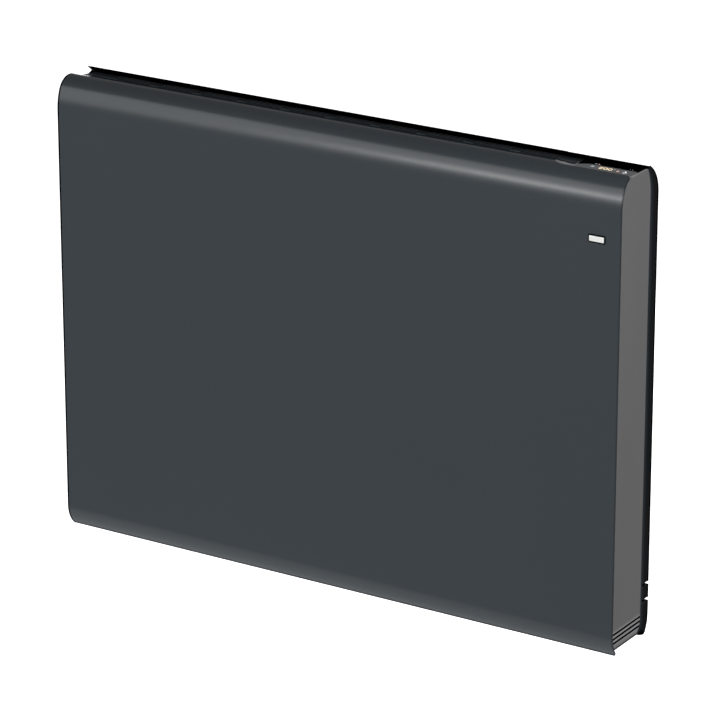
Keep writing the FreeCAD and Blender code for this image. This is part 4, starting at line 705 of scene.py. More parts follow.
def end_cap(name, node, right, face_h, top_splits, extra=()):
    """A cap's face between its edges, with rims; splits place its columns. The left one is turned over."""
    front, back = cap_front(face_h), cap_edge(face_h)
    columns = np.r_[front[-1], front[-1] + EDGE_STEPS, top_splits, back[-1] - EDGE_STEPS[::-1], back[-1]]
    share = (columns - front[-1]) / (back[-1] - front[-1])
    face_d = front[:, None] + share * (back - front)[:, None]
    d = np.concatenate([face_d[:, :1], face_d, face_d[:, -1:]], axis=1)
    x = np.full(d.shape, HALF)
    x[:, [0, -1]] = HALF - CAP_REACH
    keep = np.ones((d.shape[0] - 1, d.shape[1] - 1), bool)
    keep[face_h[1:] > FRONT_RIM_TOP, 0] = False
    keep[face_h[1:] > REAR_RIM_TOP, -1] = False
    foot_x = np.array([[HALF - CAP_REACH], [HALF]])
    grids = [place(x, d, face_h[:, None]), place(foot_x, face_d[:1], CAP_LIFT), *extra]
    rims = [np.zeros(grid.shape[:2]) for grid in grids]
    shades = [np.zeros(grid.shape[:2]) for grid in grids]
    # Painted highlights on the front and back edges, the top and round the slots; painted shade along the
    # foot and on the slots' walls.
    rims[0][:, [1, -2]] = SIDE_RIM
    rims[0][-1] = np.linspace(*TOP_RIM, d.shape[1]) if right else SIDE_RIM
    shades[0][:2] = 1.0
    shades[1][:] = 1.0
    if right:
        keep[np.isin(face_h[1:], VENTS[:, 2]), 1:-1] = False
        rims[0][np.isin(face_h, VENTS[:, [0, 3]])] = VENT_RIM
        shades[0][np.isin(face_h, VENTS[:, 1:3])] = 1.0
    else:
        grids = [grid[:, ::-1] * (-1, 1, 1) for grid in grids]
        keep = keep[:, ::-1]
    masks = [keep] + [None] * (len(grids) - 1)
    piece(
        name, "cap_plastic", "heater", grids, masks, {"rim": rims, "shade": shades},
        node=node, wall=CAP_WALL, edge=0.45, segments=3,
    )


foot_rows = np.concatenate([CAP_LIFT + FOOT_LINE, VENTS.ravel(), np.linspace(26, SHOULDER_H, 24)])
head_rows = SHOULDER_H + (CAP_TOP - SHOULDER_H) * np.sin(np.linspace(0, np.pi / 2, 30))[1:]
end_cap("right_cap", "right_end_cap", True, np.concatenate([foot_rows, head_rows]), [22.0, 28.0, 34.0, 40.0])

left_top = valley_h - CLEAR
left_rows = np.concatenate([foot_rows, np.linspace(SHOULDER_H, left_top, 14)[1:]])
roof_d, grille_d = float(under_roof(left_top)), ROOF_END + FIT
tip_h = left_top + (CREST_H + CREST_R - CLEAR - left_top) * np.sin(np.linspace(0, np.pi / 2, 16))[:, None]
top_front = float(cap_front(left_top))
tip_columns = np.r_[top_front, top_front + EDGE_STEPS, 20.0, 28.0, 34.0, roof_d]
tip_share = (tip_columns - top_front) / (roof_d - top_front)
tip_d = cap_front(tip_h) + tip_share * (under_roof(tip_h) - cap_front(tip_h))
ledge_h = np.array([left_top, valley_h - FIT])
ledge_d = np.stack([np.full(2, grille_d), cap_edge(ledge_h)], axis=1)
end_cap(
    "left_cap", "left_end_cap", False, left_rows, [20.0, 28.0, 34.0, roof_d, grille_d],
    [place(HALF, tip_d, tip_h), place(HALF, ledge_d, ledge_h[:, None])],
)

# %% [markdown]
# ## The control bay
# The notch in the roof holds a sloping satin strip with the lit figures and, behind it, a gloss black
# housing with touch marks. The strip's back is black on a slant towards its left end. There it runs
# out in a thin crescent along the notch's round corner: the surface is a path with a width that
# shrinks, kept just under the sheet. Behind it lies a plain painted floor.

# %% Control strip, floor and housing
FASCIA_LEFT, FASCIA_RIGHT, FASCIA_FRONT, FASCIA_BACK = 241.2, 299.5, 15.2, 31.0
FASCIA_LOW, FASCIA_HIGH, SLANT, TAPER_X = HEIGHT - 2.7, HEIGHT - 0.5, 4.5, 255.0
FLOOR_H, FLOOR_BACK, FLOOR_DROP, SEAM = HEIGHT - 8.2, 46.0, 1.2, 0.1
WEB_REACH, WEB_GAP, HOUSING_FALL = 4.0, 1.7, 5.6
CRESCENT_W, CRESCENT_TAPER, CRESCENT_RISE, CRESCENT_SINK, CORNER_W = 4.2, 0.8, 0.4, 0.3, 3.5


def fascia_h(d):
    """Height of the strip at a depth: it rises evenly towards the back."""
    return FASCIA_LOW + (FASCIA_HIGH - FASCIA_LOW) * (d - FASCIA_FRONT) / (FASCIA_BACK - FASCIA_FRONT)


def roof_h(d):
    """Height of the roof's outside at a depth: crest arc, then the straight fall."""
    crest_arc = CREST_H + np.sqrt(np.clip(CREST_R**2 - (d - CREST_D) ** 2, 0, None))
    return np.where(d < crest[-1, 0], crest_arc, crest[-1, 1] - ROOF_FALL * (d - crest[-1, 0]))


strip_left = FASCIA_LEFT + np.array([0, 0.7, 0.8])
strip_x = np.r_[strip_left, np.linspace(243, TAPER_X, 6), np.linspace(260, FASCIA_RIGHT, 9)]
grey_end = FASCIA_BACK - SLANT * np.clip((TAPER_X - strip_x) / (TAPER_X - FASCIA_LEFT), 0, 1) ** 1.3
grey_d = FASCIA_FRONT + np.linspace(0, 1, 8)[:, None] * (grey_end - FASCIA_FRONT)
strip_d = np.concatenate([grey_d, [grey_end + SEAM, np.full(len(strip_x), FASCIA_BACK + SEAM)]])
strip_rim, strip_dark = np.zeros(strip_d.shape), np.zeros(strip_d.shape)
# Painted highlight: a pale line along the strip's left edge.
strip_rim[:, :2] = 1.0
strip_dark[-2:, 2:] = 1.0

corner_path = chain(
    np.linspace((FASCIA_LEFT, CUT_D), (CUT_END, CUT_D), 9),
    arc((CUT_END, CUT_D + CUT_R), CUT_R, 270, 180, 24),
    np.linspace((CUT_LEFT, CUT_D + CUT_R), (CUT_LEFT, CUT_D + CUT_R + 6), 5),
)
path_side = unit(np.gradient(corner_path, axis=0)[:, ::-1] * (1, -1))
reach = np.linspace(1, 0, len(corner_path)) ** CRESCENT_TAPER * CRESCENT_W
bulge = np.clip((corner_path[:, 0] - CUT_END) / (FASCIA_LEFT - CUT_END), 0, 1)
across = np.array([-2.0, 0.06, 0.35, 0.7, 1.0])[:, None]
offset = np.where(across < 0, across, across * (reach + CORNER_W * bulge**2))
crescent_x, crescent_d = np.moveaxis(corner_path + offset[..., None] * path_side, -1, 0)
flush = roof_h(corner_path[:, 1]) - CRESCENT_SINK + np.clip(across, -1, 1) * reach * CRESCENT_RISE
tucked = np.minimum(fascia_h(crescent_d), roof_h(crescent_d) - SKIN - SEAM)
crescent_h = np.where(across < 0, tucked, flush + bulge * (fascia_h(crescent_d) - flush))
# Painted highlight: the crescent grows paler across its width, where the notch's edge catches the light.
crescent_rim = np.repeat(np.clip(across, 0, 1), len(corner_path), axis=1)
piece(
    "control_strip", "fascia_plastic", "heater",
    [place(strip_x, strip_d, fascia_h(strip_d)), place(crescent_x, crescent_d, crescent_h)[:, ::-1]],
    marks={"rim": [strip_rim, crescent_rim], "shade": [strip_dark, 0 * crescent_rim]},
    node="display_panel", wall=1.6, edge=0.25,
)

floor_x = np.linspace(CUT_LEFT - SKIN, FASCIA_LEFT, 8)
floor_d = np.linspace(FASCIA_FRONT, FLOOR_BACK, 8)[:, None]
web_d = floor_d[floor_d[:, 0] <= FASCIA_BACK + WEB_REACH]
web_top = fascia_h(np.minimum(web_d, FASCIA_BACK)) - WEB_GAP
web_h = np.concatenate([np.full(web_d.shape, FLOOR_H), web_top], axis=1)
floor_grid = place(floor_x, floor_d, roof_h(floor_d) - SKIN - FLOOR_DROP)
piece(
    "control_bay_floor", "front_enamel", "heater", [floor_grid, place(FASCIA_LEFT, web_d, web_h)],
    wall=SKIN, edge=0.3,
)

HOUSING_TOP, HOUSING_BASE, HOUSING_SHOULDER, HOUSING_BACK = FASCIA_HIGH - FIT, HEIGHT - 24.0, 49.4, 55.0
housing_line = rounded(
    [
        (FASCIA_BACK, HOUSING_BASE), (FASCIA_BACK, HOUSING_TOP), (HOUSING_SHOULDER, HOUSING_TOP),
        (HOUSING_BACK, HOUSING_TOP - HOUSING_FALL), (HOUSING_BACK, HOUSING_BASE),
    ],
    [0.5, 0.7, 6.0, 4.0, 0.5],
)
housing_x = np.array([[FASCIA_LEFT + 0.7], [FASCIA_RIGHT]])
housing_loops = place(housing_x, housing_line[:, 0], housing_line[:, 1])
piece(
    "control_cover", "control_gloss", "heater", [wrapped(housing_loops)], lids=list(housing_loops),
    closed=True, node="control_housing", edge=0.5, segments=3,
)

# %% [markdown]
# ## Lights behind the strip
# The figures and marks are lit from behind through a film. A little noise between two close tints
# keeps them from looking printed.


# %% Lit finishes
def lit(name, low, high, strength):
    """A small lamp behind a film: two close tints in a fine noise, giving light of their own."""
    finish = Finish(name, base_color=(0.02, 0.02, 0.02, 1.0), roughness=0.4, emission_strength=strength)
    finish.feed(emission_color=finish.mix(finish.spots(2500.0), low, high))


lit("amber_light", (0.84, 0.62, 0.36), (1.0, 0.84, 0.58), 1.9)
lit("pale_light", (0.72, 0.72, 0.73), (0.90, 0.90, 0.90), 1.73)
lit("cool_light", (0.26, 0.29, 0.32), (0.36, 0.39, 0.42), 1.5)
lit("rose_light", (0.64, 0.36, 0.36), (0.80, 0.50, 0.50), 1.25)
print("lit finishes added,", len(finishes), "in all")

# %% [markdown]
# ## Lit figures and touch marks
# The display shows a plain temperature. Each figure is built from seven bars, as on a real segment
# display: a bar is a six-cornered patch, and a table of strokes says which bars a figure lights. The
# patches lie a twentieth of a millimetre above the strip and follow its slope.

# %% Figures and marks
FIGURE_SIZE, FIGURE_PITCH, FIGURES_AT, BAR, BAR_GAP, LIFT = (3.1, 1.6), 4.5, (264.6, 25.2), 0.6, 0.08, 0.05
BAR_ENDS = np.array([
    [(0, 2), (1, 2)], [(1, 2), (1, 1)], [(1, 1), (1, 0)], [(0, 0), (1, 0)],
    [(0, 1), (0, 0)], [(0, 2), (0, 1)], [(0, 1), (1, 1)],
])
LIT_BARS = {"2": [0, 1, 6, 4, 3], "0": [0, 1, 2, 3, 4, 5]}


def bars(ends, thick):
    """Six-cornered bars between pairs of ends: a point at each end and a pair of corners beside it."""
    ends = np.asarray(ends, float)
    along = unit(ends[:, 1] - ends[:, 0])
    aside = along[:, ::-1] * (-1, 1)
    first, last = ends[:, 0] + BAR_GAP * along, ends[:, 1] - BAR_GAP * along
    far, near = (along - aside) * thick / 2, (along + aside) * thick / 2
    return np.stack([first, first + far, last - near, last, last - far, first + near], axis=1)


def ring_bars(x, d, radius, gap=0, count=10):
    """Short bars round a circle, open by a gap in degrees at its far side."""
    ring = arc((x, d), radius, 90 + gap / 2, 450 - gap / 2, count + 1)
    return np.stack([ring[:-1], ring[1:]], axis=1)


def on_control(name, slot, light, thick, ends):
    """One piece from flat (x, d) bars laid on the strip or, behind it, on the housing's top."""
    x, d = np.moveaxis(bars(ends, thick), -1, 0)
    h = np.where(d < FASCIA_BACK, fascia_h(d), HOUSING_TOP) + LIFT
    piece(name, slot, "heater", [], lids=list(place(x, d, h)), finish=light)


figures = np.concatenate([
    BAR_ENDS[LIT_BARS[figure]] * FIGURE_SIZE + FIGURES_AT + np.array([FIGURE_PITCH * number, 0])
    for number, figure in enumerate("200")
])
power_bars = [*ring_bars(290.2, 25.6, 1.7, 70), [(290.2, 25.8), (290.2, 28.6)]]
level_bars = [[(255.2, 26.6), (259.8, 26.6)], [(256.2, 28.0), (258.8, 28.0)]]
point_bars = [[(290.6, 34.8), (291.4, 34.8)], [(292.9, 34.8), (293.4, 34.8)]]
on_control("lit_figures", "fascia_plastic", "amber_light", BAR, figures)
on_control("degree_sign", "fascia_plastic", "amber_light", 0.35, ring_bars(279.0, 28.0, 0.5))
on_control("heat_sign", "fascia_plastic", "rose_light", 1.1, ring_bars(283.2, 26.0, 0.9))
on_control("power_sign", "fascia_plastic", "pale_light", 0.8, power_bars)
on_control("level_sign", "fascia_plastic", "cool_light", 1.0, level_bars)
on_control("touch_dash", "control_gloss", "cool_light", 1.0, [[(255.8, 34.2), (258.6, 34.2)]])
on_control("touch_dot", "control_gloss", "rose_light", 0.8, ring_bars(260.4, 34.0, 0.4))
on_control("touch_points", "control_gloss", "pale_light", 0.7, point_bars)

# %% [markdown]
# ## The front plate
# A small bright plate sits high on the right of the front. It is left bare. Rounded outlines, each a
# little smaller and further out, give it a soft pressed edge above a thin ring that is painted dark as
# its shadow.

# %% Front plate
BADGE = [(270.4, 390.5), (285.6, 395.9)]
BADGE_STEPS = np.array([[-1.2, 0.0], [-1.2, 0.12], [0.1, 0.15], [0.2, 0.6], [0.25, 0.7], [0.75, 0.8]])
SHADOW_ROWS = 4
badge_lines = np.stack([box_line(*BADGE, inset, max(0.2, 0.5 - inset)) for inset in BADGE_STEPS[:, 0]])
badge_loops = place(badge_lines[..., 0], -BADGE_STEPS[:, 1:], badge_lines[..., 1])
badge_grid = wrapped(badge_loops)
# Painted shadow: the rows of the ring round the plate are dead black.
plate_shadow = np.zeros(badge_grid.shape[:2])
plate_shadow[:SHADOW_ROWS] = 1.0
piece(
    "front_plate", "bright_plate", "heater", [badge_grid], marks={"shade": [plate_shadow, plate_shadow[0, 1:], plate_shadow[-1, 1:]]},
    lids=[badge_loops[0], badge_loops[-1]], closed=True, node="badge_plate",
)

# %% [markdown]
# ## Slotted plates
# The warm-air outlet in the valley behind the roof and the cool-air inlet underneath are plates with
# rows of slots. Lines at the slots' edges make a grid, and the cells that fall inside a slot are left
# out, so the slots are real openings with walls. The outlet has extra lines close to each slot, which
# keep its painted highlights on the bars and its painted shade on the slots' walls narrow.

# %% Outlet and inlet
GRILLE_LEFT, GRILLE_RIGHT, GRILLE_BAR, ROW_MARGIN, TUCK = -299.5, 241.0, 1.0, 1.1, 5.0
GUARD, NEAR_DARK, FAR_DARK = np.array([-0.15, 0.15]), 1.0, 0.6
# Bays of slots along x: where they start, their pitch, a slot's length and how many there are.
OUTLET_BAYS, INLET_BAYS = (-268.0, 49.0, 39.0, 10), (-281.0, 46.0, 38.0, 10)


def solid_cells(x_lines, d_lines, holes):
    """Cells of a grid of lines that stay: those whose middle is in none of the (x, d, x, d) holes."""
    x = ((x_lines[1:] + x_lines[:-1]) / 2)[None, None, :]
    d = ((d_lines[1:] + d_lines[:-1]) / 2)[None, :, None]
    x0, d0, x1, d1 = np.moveaxis(np.asarray(holes, float), 1, 0)[:, :, None, None]
    return ~((x > x0) & (x < x1) & (d > d0) & (d < d1)).any(axis=0)


def slot_field(x_start, pitch, length, bays, d_start, d_pitch, width, rows):
    """Slots in bays along x and rows along d, each as (x, d, x, d)."""
    x, d = np.meshgrid(x_start + pitch * np.arange(bays), d_start + d_pitch * np.arange(rows))
    return np.stack([x, d, x + length, d + width], axis=-1).reshape(-1, 4)


def among(values, wanted):
    """Which values are as good as equal to one of those wanted."""
    return np.isclose(values[:, None], wanted).any(axis=1)


bore_r = LIP_R - SKIN - FIT
back_d = lip_centre[0] + np.sqrt(bore_r**2 - (valley_h - lip_centre[1]) ** 2)
slot_w = (back_d - grille_d - 2 * ROW_MARGIN - 2 * GRILLE_BAR) / 3
outlet_slots = slot_field(*OUTLET_BAYS, grille_d + ROW_MARGIN, slot_w + GRILLE_BAR, slot_w, 3)
slot_ends, slot_rows = np.unique(outlet_slots[:, [0, 2]]), np.unique(outlet_slots[:, [1, 3]].round(6))
guard_rows = slot_rows + np.tile(GUARD, 3)
guard_ends = slot_ends + np.tile(GUARD, OUTLET_BAYS[-1])
outlet_x = np.r_[GRILLE_LEFT, np.sort(np.r_[slot_ends, guard_ends]), GRILLE_RIGHT]
outlet_d = np.r_[
    grille_d - TUCK, grille_d, grille_d, grille_d + 0.4, np.sort(np.r_[slot_rows, guard_rows]), back_d
]
outlet_h = np.where(np.arange(len(outlet_d)) < 2, valley_h - CLEAR, valley_h)[:, None]
outlet_rim, outlet_shade = np.zeros((2, len(outlet_d), len(outlet_x)))
in_bay = among(outlet_x, slot_ends)
between_bays = np.searchsorted(slot_ends, outlet_x, side="right") % 2 == 0
# Painted highlights: pale dashes on the webs' front edges and pale bars between the slot rows. Painted shade:
# the slots' near walls go black and their far walls half dark.
outlet_rim[2:4, 1:-1] = (between_bays & ~in_bay)[1:-1]
outlet_rim[np.ix_(among(outlet_d, guard_rows[1:]), in_bay)] = 1.0
outlet_shade[np.ix_(among(outlet_d, slot_rows[::2]), in_bay)] = NEAR_DARK
outlet_shade[np.ix_(among(outlet_d, slot_rows[1::2]), in_bay)] = FAR_DARK
piece(
    "outlet_plate", "grille_plastic", "heater", [place(outlet_x, outlet_d[:, None], outlet_h)],
    [solid_cells(outlet_x, outlet_d, outlet_slots)], {"rim": [outlet_rim], "shade": [outlet_shade]},
    node="outlet_grille", wall=1.6, edge=0.1,
)

INLET_H, INLET_HALF, INLET_MARGIN, INLET_SLOT = 8.8, 286.0, 6.0, 4.0
SWITCH_X, SWITCH_D = 250.0, 26.0
SWITCH, SWITCH_HALF = np.array([SWITCH_X, SWITCH_D]), np.array([9.6, 6.5])
inlet_front = CHIN_R - np.sqrt((CHIN_R - SKIN) ** 2 - (CHIN_RISE - INLET_H) ** 2) + FIT
inlet_back = CAP_D - CAP_FOOT_LEAN + SKIN
inlet_pitch = (inlet_back - inlet_front - 2 * INLET_MARGIN - INLET_SLOT) / 3
inlet_slots = slot_field(*INLET_BAYS, inlet_front + INLET_MARGIN, inlet_pitch, INLET_SLOT, 4)
inlet_holes = np.concatenate([inlet_slots, [np.r_[SWITCH - SWITCH_HALF - FIT, SWITCH + SWITCH_HALF + FIT]]])
inlet_x = np.unique(np.r_[-INLET_HALF, inlet_holes[:, [0, 2]].ravel(), INLET_HALF])
inlet_d = np.unique(np.r_[inlet_front, inlet_holes[:, [1, 3]].ravel().round(6), inlet_back])
piece(
    "inlet_plate", "rear_enamel", "heater", [place(inlet_x[::-1], inlet_d[:, None], INLET_H)],
    [solid_cells(inlet_x, inlet_d, inlet_holes)[:, ::-1]], node="inlet_grille", wall=1.5, edge=0.3,
)

# %% [markdown]
# ## The mains switch
# A rocker in a frame underneath. The frame is a stack of rounded rectangles: up the outside, over the
# rim and down into the well. The key is a bent bar on two pins, with the usual ring and stroke.

# %% Mains switch
RIM, WELL, FRAME_R, FRAME_WIDEN, SIGN_X = 1.6, 1.2, 1.6, 0.6, 3.7
KEY_BACK, KEY_PEAK = INLET_H + 1.2, INLET_H + 2.2
KEY_HALF, KEY_SIDE, KEY_FACE, KEY_SLOPE = 7.2, 5.05, INLET_H - 2.2, np.tan(np.radians(8.0))
frame_steps = np.array([
    [0.0, 23.8], [0.0, INLET_H], [RIM, INLET_H], [RIM, INLET_H - 1.1], [RIM - 0.5, INLET_H - RIM],
    [0.3 - WELL, INLET_H - RIM], [-WELL, INLET_H - RIM + 0.3], [-WELL, 22.6],
])
frame_corners = SWITCH - SWITCH_HALF, SWITCH + SWITCH_HALF
frame_lines = np.stack([
    box_line(*frame_corners, -step, FRAME_R + FRAME_WIDEN * step) for step in frame_steps[:, 0]
])
frame_loops = place(frame_lines[..., 0], frame_lines[..., 1], frame_steps[:, 1:])
piece(
    "switch_frame", "black_plastic", "heater", [wrapped(frame_loops)], lids=[frame_loops[0], frame_loops[-1]],
    closed=True, node="switch_housing",
)

key_left, key_right, lean = SWITCH_X - KEY_HALF, SWITCH_X + KEY_HALF, KEY_HALF * KEY_SLOPE
key_line = rounded(
    [
        (key_left, KEY_FACE + lean), (key_left, KEY_BACK + lean), (SWITCH_X, KEY_PEAK),
        (key_right, KEY_BACK - lean), (key_right, KEY_FACE - lean), (SWITCH_X, KEY_FACE - 0.001),
    ],
    [0.5, 0.5, 1.0, 0.5, 0.5, 0.5],
)
key_loops = place(key_line[:, 0], np.array([[SWITCH_D - KEY_SIDE], [SWITCH_D + KEY_SIDE]]), key_line[:, 1])
axle_profile = [(-6.5, 0), (-6.5, 0.9), (-6.2, 1.2), (6.2, 1.2), (6.5, 0.9), (6.5, 0)]
axle = spun(place(SWITCH_X, SWITCH_D, INLET_H) / MM, (0, 1, 0), axle_profile, 16)
piece(
    "rocker_key", "black_plastic", "rocker", [wrapped(key_loops), axle], lids=list(key_loops), closed=True,
    node="mains_rocker", edge=0.3, segments=3,
)
stroke = [(SWITCH_X + SIGN_X, 24.4), (SWITCH_X + SIGN_X, 27.6)]
key_bars = bars([*ring_bars(SWITCH_X - SIGN_X, SWITCH_D, 1.5, count=14), stroke], 0.5)[:, ::-1]
key_x, key_d = np.moveaxis(key_bars, -1, 0)
key_marks = place(key_x, key_d, KEY_FACE - (key_x - SWITCH_X) * KEY_SLOPE - LIFT)
piece("rocker_marks", "white_plastic", "rocker", [], lids=list(key_marks))

# %% [markdown]
# ## Round things on the back
# Screws, the earth stud, the cable inlet, buffers, hinge pins and lock studs are all turned parts: a
# profile of distances along an axis and radii, swept round. A row may be pulled to a hexagon for a nut.
# A screw's cross recess needs columns that stay on the recess's straight sides, so at each radius the
# column's angle is the arcsine of half the recess's width over that radius.

# %% Turned parts
HINGE_X, HINGE_Y, HINGE_Z, LOCK_X, LOCK_Z = 138.0, -11.0, 40.0 + BASE_Z, 100.0, 160.0
GLAND_AT, EARTH_AT = (252.0, BACK_Y, 43.0 + BASE_Z), (232.0, BACK_Y, 66.0 + BASE_Z)
BACKWARDS, FORWARDS, SIDES = (0, 1, 0), (0, -1, 0), (-1, 1)
BUFFER_X, BUFFER_Z, STUD_Y, SCREW_X, SCREW_H = 132.0, 60.0, -2.0, 293.0, (75.0, 230.0, 385.0)
RECESS = 0.42
RECESS_R = RECESS * np.sqrt(2)


def cross_head(x, h):
    """A pan head's top with a cross recess, as rings of columns that hug the recess's sides."""
    radius = np.array([1.6, 1.6, 3.4, 3.4, 3.1, 2.4, 1.7, 1.7, RECESS_R, RECESS_R, 0.0])[:, None]
    rise = np.array([-8.0, 0.0, 0.0, 0.9, 1.6, 1.93, 2.0, 2.0, 2.0, 1.0, 1.0])[:, None]
    sunk = np.array([-8.0, 0.0, 0.0, 0.9, 1.6, 1.93, 2.0, 1.1, 1.0, 1.0, 1.0])[:, None]
    arm = np.repeat(np.arange(4) * np.pi / 2, 6)
    side = np.tile([-1, -1, 1, 1, 0, 0], 4)
    between = np.tile([0, 0, 0, 0, 1, 2], 4) * np.pi / 6
    low = np.tile([False, True, True, False, False, False], 4)
    half = np.arcsin(np.minimum(RECESS / np.maximum(radius, RECESS_R), 1.0))
    turn = arm + np.where(between > 0, np.clip(between, half, np.pi / 2 - half), side * half)
    y = BACK_Y + np.where(low, sunk, rise)
    return wrapped(spread(x + radius * np.cos(turn), y, h + BASE_Z + radius * np.sin(turn)))


screw_heads = [cross_head(side * SCREW_X, h) for side in SIDES for h in SCREW_H]
earth_profile = [
    (-16, 0), (-16, 2.1), (-15.6, 2.5), (-4.4, 2.5), (-4.4, 4.2, 1), (-4.0, 4.6, 1), (-1.2, 4.6, 1),
    (-1.2, 2.5), (0, 2.5), (0, 4.6, 1), (1.1, 4.6, 1), (1.6, 4.0, 1), (1.6, 0),
]
gland_profile = [
    (-6.2, 4.5), (-6.2, 11.4, 1), (-5.6, 12, 1), (-1.8, 12, 1), (-1.2, 11.4, 1), (-1.2, 8), (0, 8),
    (0, 11.6, 1), (0.5, 12, 1), (3.9, 12, 1), (4.5, 11.3, 1), (4.5, 8), (5.2, 8), (5.5, 7.6), (5.8, 8),
    (6.5, 8), (6.8, 7.6), (7.1, 8), (8.4, 8), (9, 7.3), (9, 5.2), (8.4, 4.5), (-6.2, 4.5),
]
buffer_profile = [
    (0, 0), (0, 8), (6, 8), (6.6, 7.4), (7.6, 7.4), (8.2, 8), (16.4, 8), (17.6, 7.5), (18.3, 6.6),
    (18.6, 5.4), (18.6, 3), (17.9, 2.2), (17.9, 0),
]
pin_profile = [(0, 0), (0, 2.3), (0.7, 3), (15.3, 3), (16, 2.3), (16, 0)]
stud_profile = [
    (0, 0), (0, 5.5), (2.94, 5.5), (2.94, 3), (5.06, 3), (5.06, 5.5), (6.1, 5.5), (6.66, 4.8), (6.66, 2.5, 1),
    (5.7, 2.3, 1), (5.7, 0),
]
earth = [spun(EARTH_AT, BACKWARDS, earth_profile, 36)]
gland = [spun(GLAND_AT, BACKWARDS, gland_profile, 36)]
buffers = [spun((side * BUFFER_X, BACK_Y, BUFFER_Z), BACKWARDS, buffer_profile) for side in SIDES]
pins = [spun((side * (HINGE_X + 1.5), HINGE_Y, HINGE_Z), (-side, 0, 0), pin_profile) for side in SIDES]
studs = [spun((side * LOCK_X, STUD_Y, LOCK_Z), FORWARDS, stud_profile) for side in SIDES]
piece("back_screws", "zinc_steel", "heater", screw_heads, closed=True, node="shell_screws")
piece("earth_stud", "earth_brass", "heater", earth, closed=True, node="earth_terminal")
piece("cable_inlet", "black_plastic", "heater", gland, closed=True, node="cable_gland")
piece("rubber_buffers", "buffer_rubber", "heater", buffers, closed=True, node="wall_buffers")
piece("pivot_pins", "zinc_steel", "bracket", pins, closed=True, node="hinge_pins")
piece("lever_studs", "zinc_steel", "bracket", studs, closed=True, node="lock_studs")

# %% [markdown]
# ## The wall bracket
# A folded plate: flange, fold, plate, fold, flange, carried up the wall. Its window and slotted screw
# holes are left out of the grid. A small patch closes in on each slot: every point of the slot's edge
# is joined to the nearest corner of the cell that was left out. Two ears carry the hinge pins.

# %% Wall bracket
BRACKET_HALF, BRACKET_TOP, BRACKET_LOW, FLANGE, BOARD, BEND = 160.0, 186.0, -202.0, -9.0, 2.0, 3.0
SLOT_AT, SLOT_CELL, SLOT_R, SLOT_REACH = np.array([130.0, 140.0]), np.array([14.0, 9.0]), 3.5, 3.5
WINDOW_HALF, WINDOW_LOW, WINDOW_TOP = 104.0, -116.0, 108.0
EAR_HALF, EAR_FRONT, EAR_RISE = 1.5, HINGE_Y - 5, 13
fold_line = rounded([(BRACKET_HALF, FLANGE), (BRACKET_HALF, 0), (0, 0)], BEND, 7, closed=False)[:-1]
plate_x = np.array([SLOT_AT[0] + SLOT_CELL[0], SLOT_AT[0] - SLOT_CELL[0], WINDOW_HALF])
half_plate = np.concatenate([fold_line, np.stack([plate_x, 0 * plate_x], axis=1)])
bracket_x, bracket_y = np.concatenate([half_plate, half_plate[::-1] * (-1, 1)]).T
slot_z = np.array([SLOT_AT[1] - SLOT_CELL[1], SLOT_AT[1] + SLOT_CELL[1]])
bracket_z = np.r_[BRACKET_LOW, -slot_z[::-1], WINDOW_LOW, WINDOW_TOP, slot_z, BRACKET_TOP]
slot_middles = [SLOT_AT * (side, level) for side in SIDES for level in SIDES]
bracket_holes = [(-WINDOW_HALF, WINDOW_LOW, WINDOW_HALF, WINDOW_TOP)]
bracket_holes += [(*(middle - SLOT_CELL), *(middle + SLOT_CELL)) for middle in slot_middles]
bracket_mask = solid_cells(bracket_x[::-1], bracket_z, bracket_holes)[:, ::-1]


def slot_patch(middle):
    """From the corners of a left-out cell to the slot's edge, going round clockwise."""
    ends = [arc((SLOT_REACH, 0), SLOT_R, 90, -90, 13), arc((-SLOT_REACH, 0), SLOT_R, 270, 90, 13)]
    edge = np.concatenate(ends)
    ring = np.stack([np.where(edge >= 0, 1, -1) * SLOT_CELL, edge]) + middle
    return wrapped(spread(ring[..., 0], 0, ring[..., 1]))


piece(
    "bracket_plate", "bracket_enamel", "bracket",
    [spread(bracket_x, bracket_y, bracket_z[:, None]), *map(slot_patch, slot_middles)],
    [bracket_mask, None, None, None, None], node="wall_bracket", wall=BOARD, edge=0.35,
)
ear_low, ear_top = HINGE_Z - EAR_RISE, HINGE_Z + EAR_RISE
ear_line = rounded(
    [(-1.0, ear_low), (EAR_FRONT, ear_low), (EAR_FRONT, ear_top), (-1.0, ear_top)], [0.3, 7.0, 7.0, 0.3]
)
ears = [slab(ear_line, 0, side * HINGE_X - EAR_HALF, side * HINGE_X + EAR_HALF) for side in SIDES]
piece(
    "bracket_ears", "bracket_enamel", "bracket", [wall for wall, _ in ears], lids=ears[0][1] + ears[1][1],
    closed=True, edge=0.4, segments=3,
)

# %% [markdown]
# ## Hooks
# The heater hangs by two hooks on the hinge pins. A hook is a plate with an open mouth, cut to drop
# over its pin from above, and a foot that is riveted to the back.

# %% Hooks
HOOK_R, HOOK_LOW, HOOK_TOP, HOOK_BACK = 3.08, HINGE_Z - 7.0, HINGE_Z + 17.0, HINGE_Y + 6.0
HOOK_X, HOOK_HALF, HOOK_FOOT, MOUTH, MOUTH_RISE = 134.0, 1.5, 18.0, 0.6, 0.8
HANDS = ((-1, "left"), (1, "right"))
hook_back = [(HOOK_BACK, HOOK_LOW + 1), (HOOK_BACK, HINGE_Z + HOOK_R), (HINGE_Y, HOOK_TOP)]
hook_line = np.concatenate([
    [(BACK_Y, HOOK_LOW), (HINGE_Y - HOOK_R - MOUTH, HOOK_LOW), (HINGE_Y - HOOK_R, HOOK_LOW + MOUTH_RISE)],
    arc((HINGE_Y, HINGE_Z), HOOK_R, 180, 0, 15),
    [(HINGE_Y + HOOK_R, HOOK_LOW + MOUTH_RISE), (HINGE_Y + HOOK_R + MOUTH, HOOK_LOW)],
    arc((HOOK_BACK - 1, HOOK_LOW + 1), 1.0, 270, 360, 5),
    rounded(hook_back, 4.0, 7, closed=False)[1:],
    [(BACK_Y, HOOK_TOP)],
])
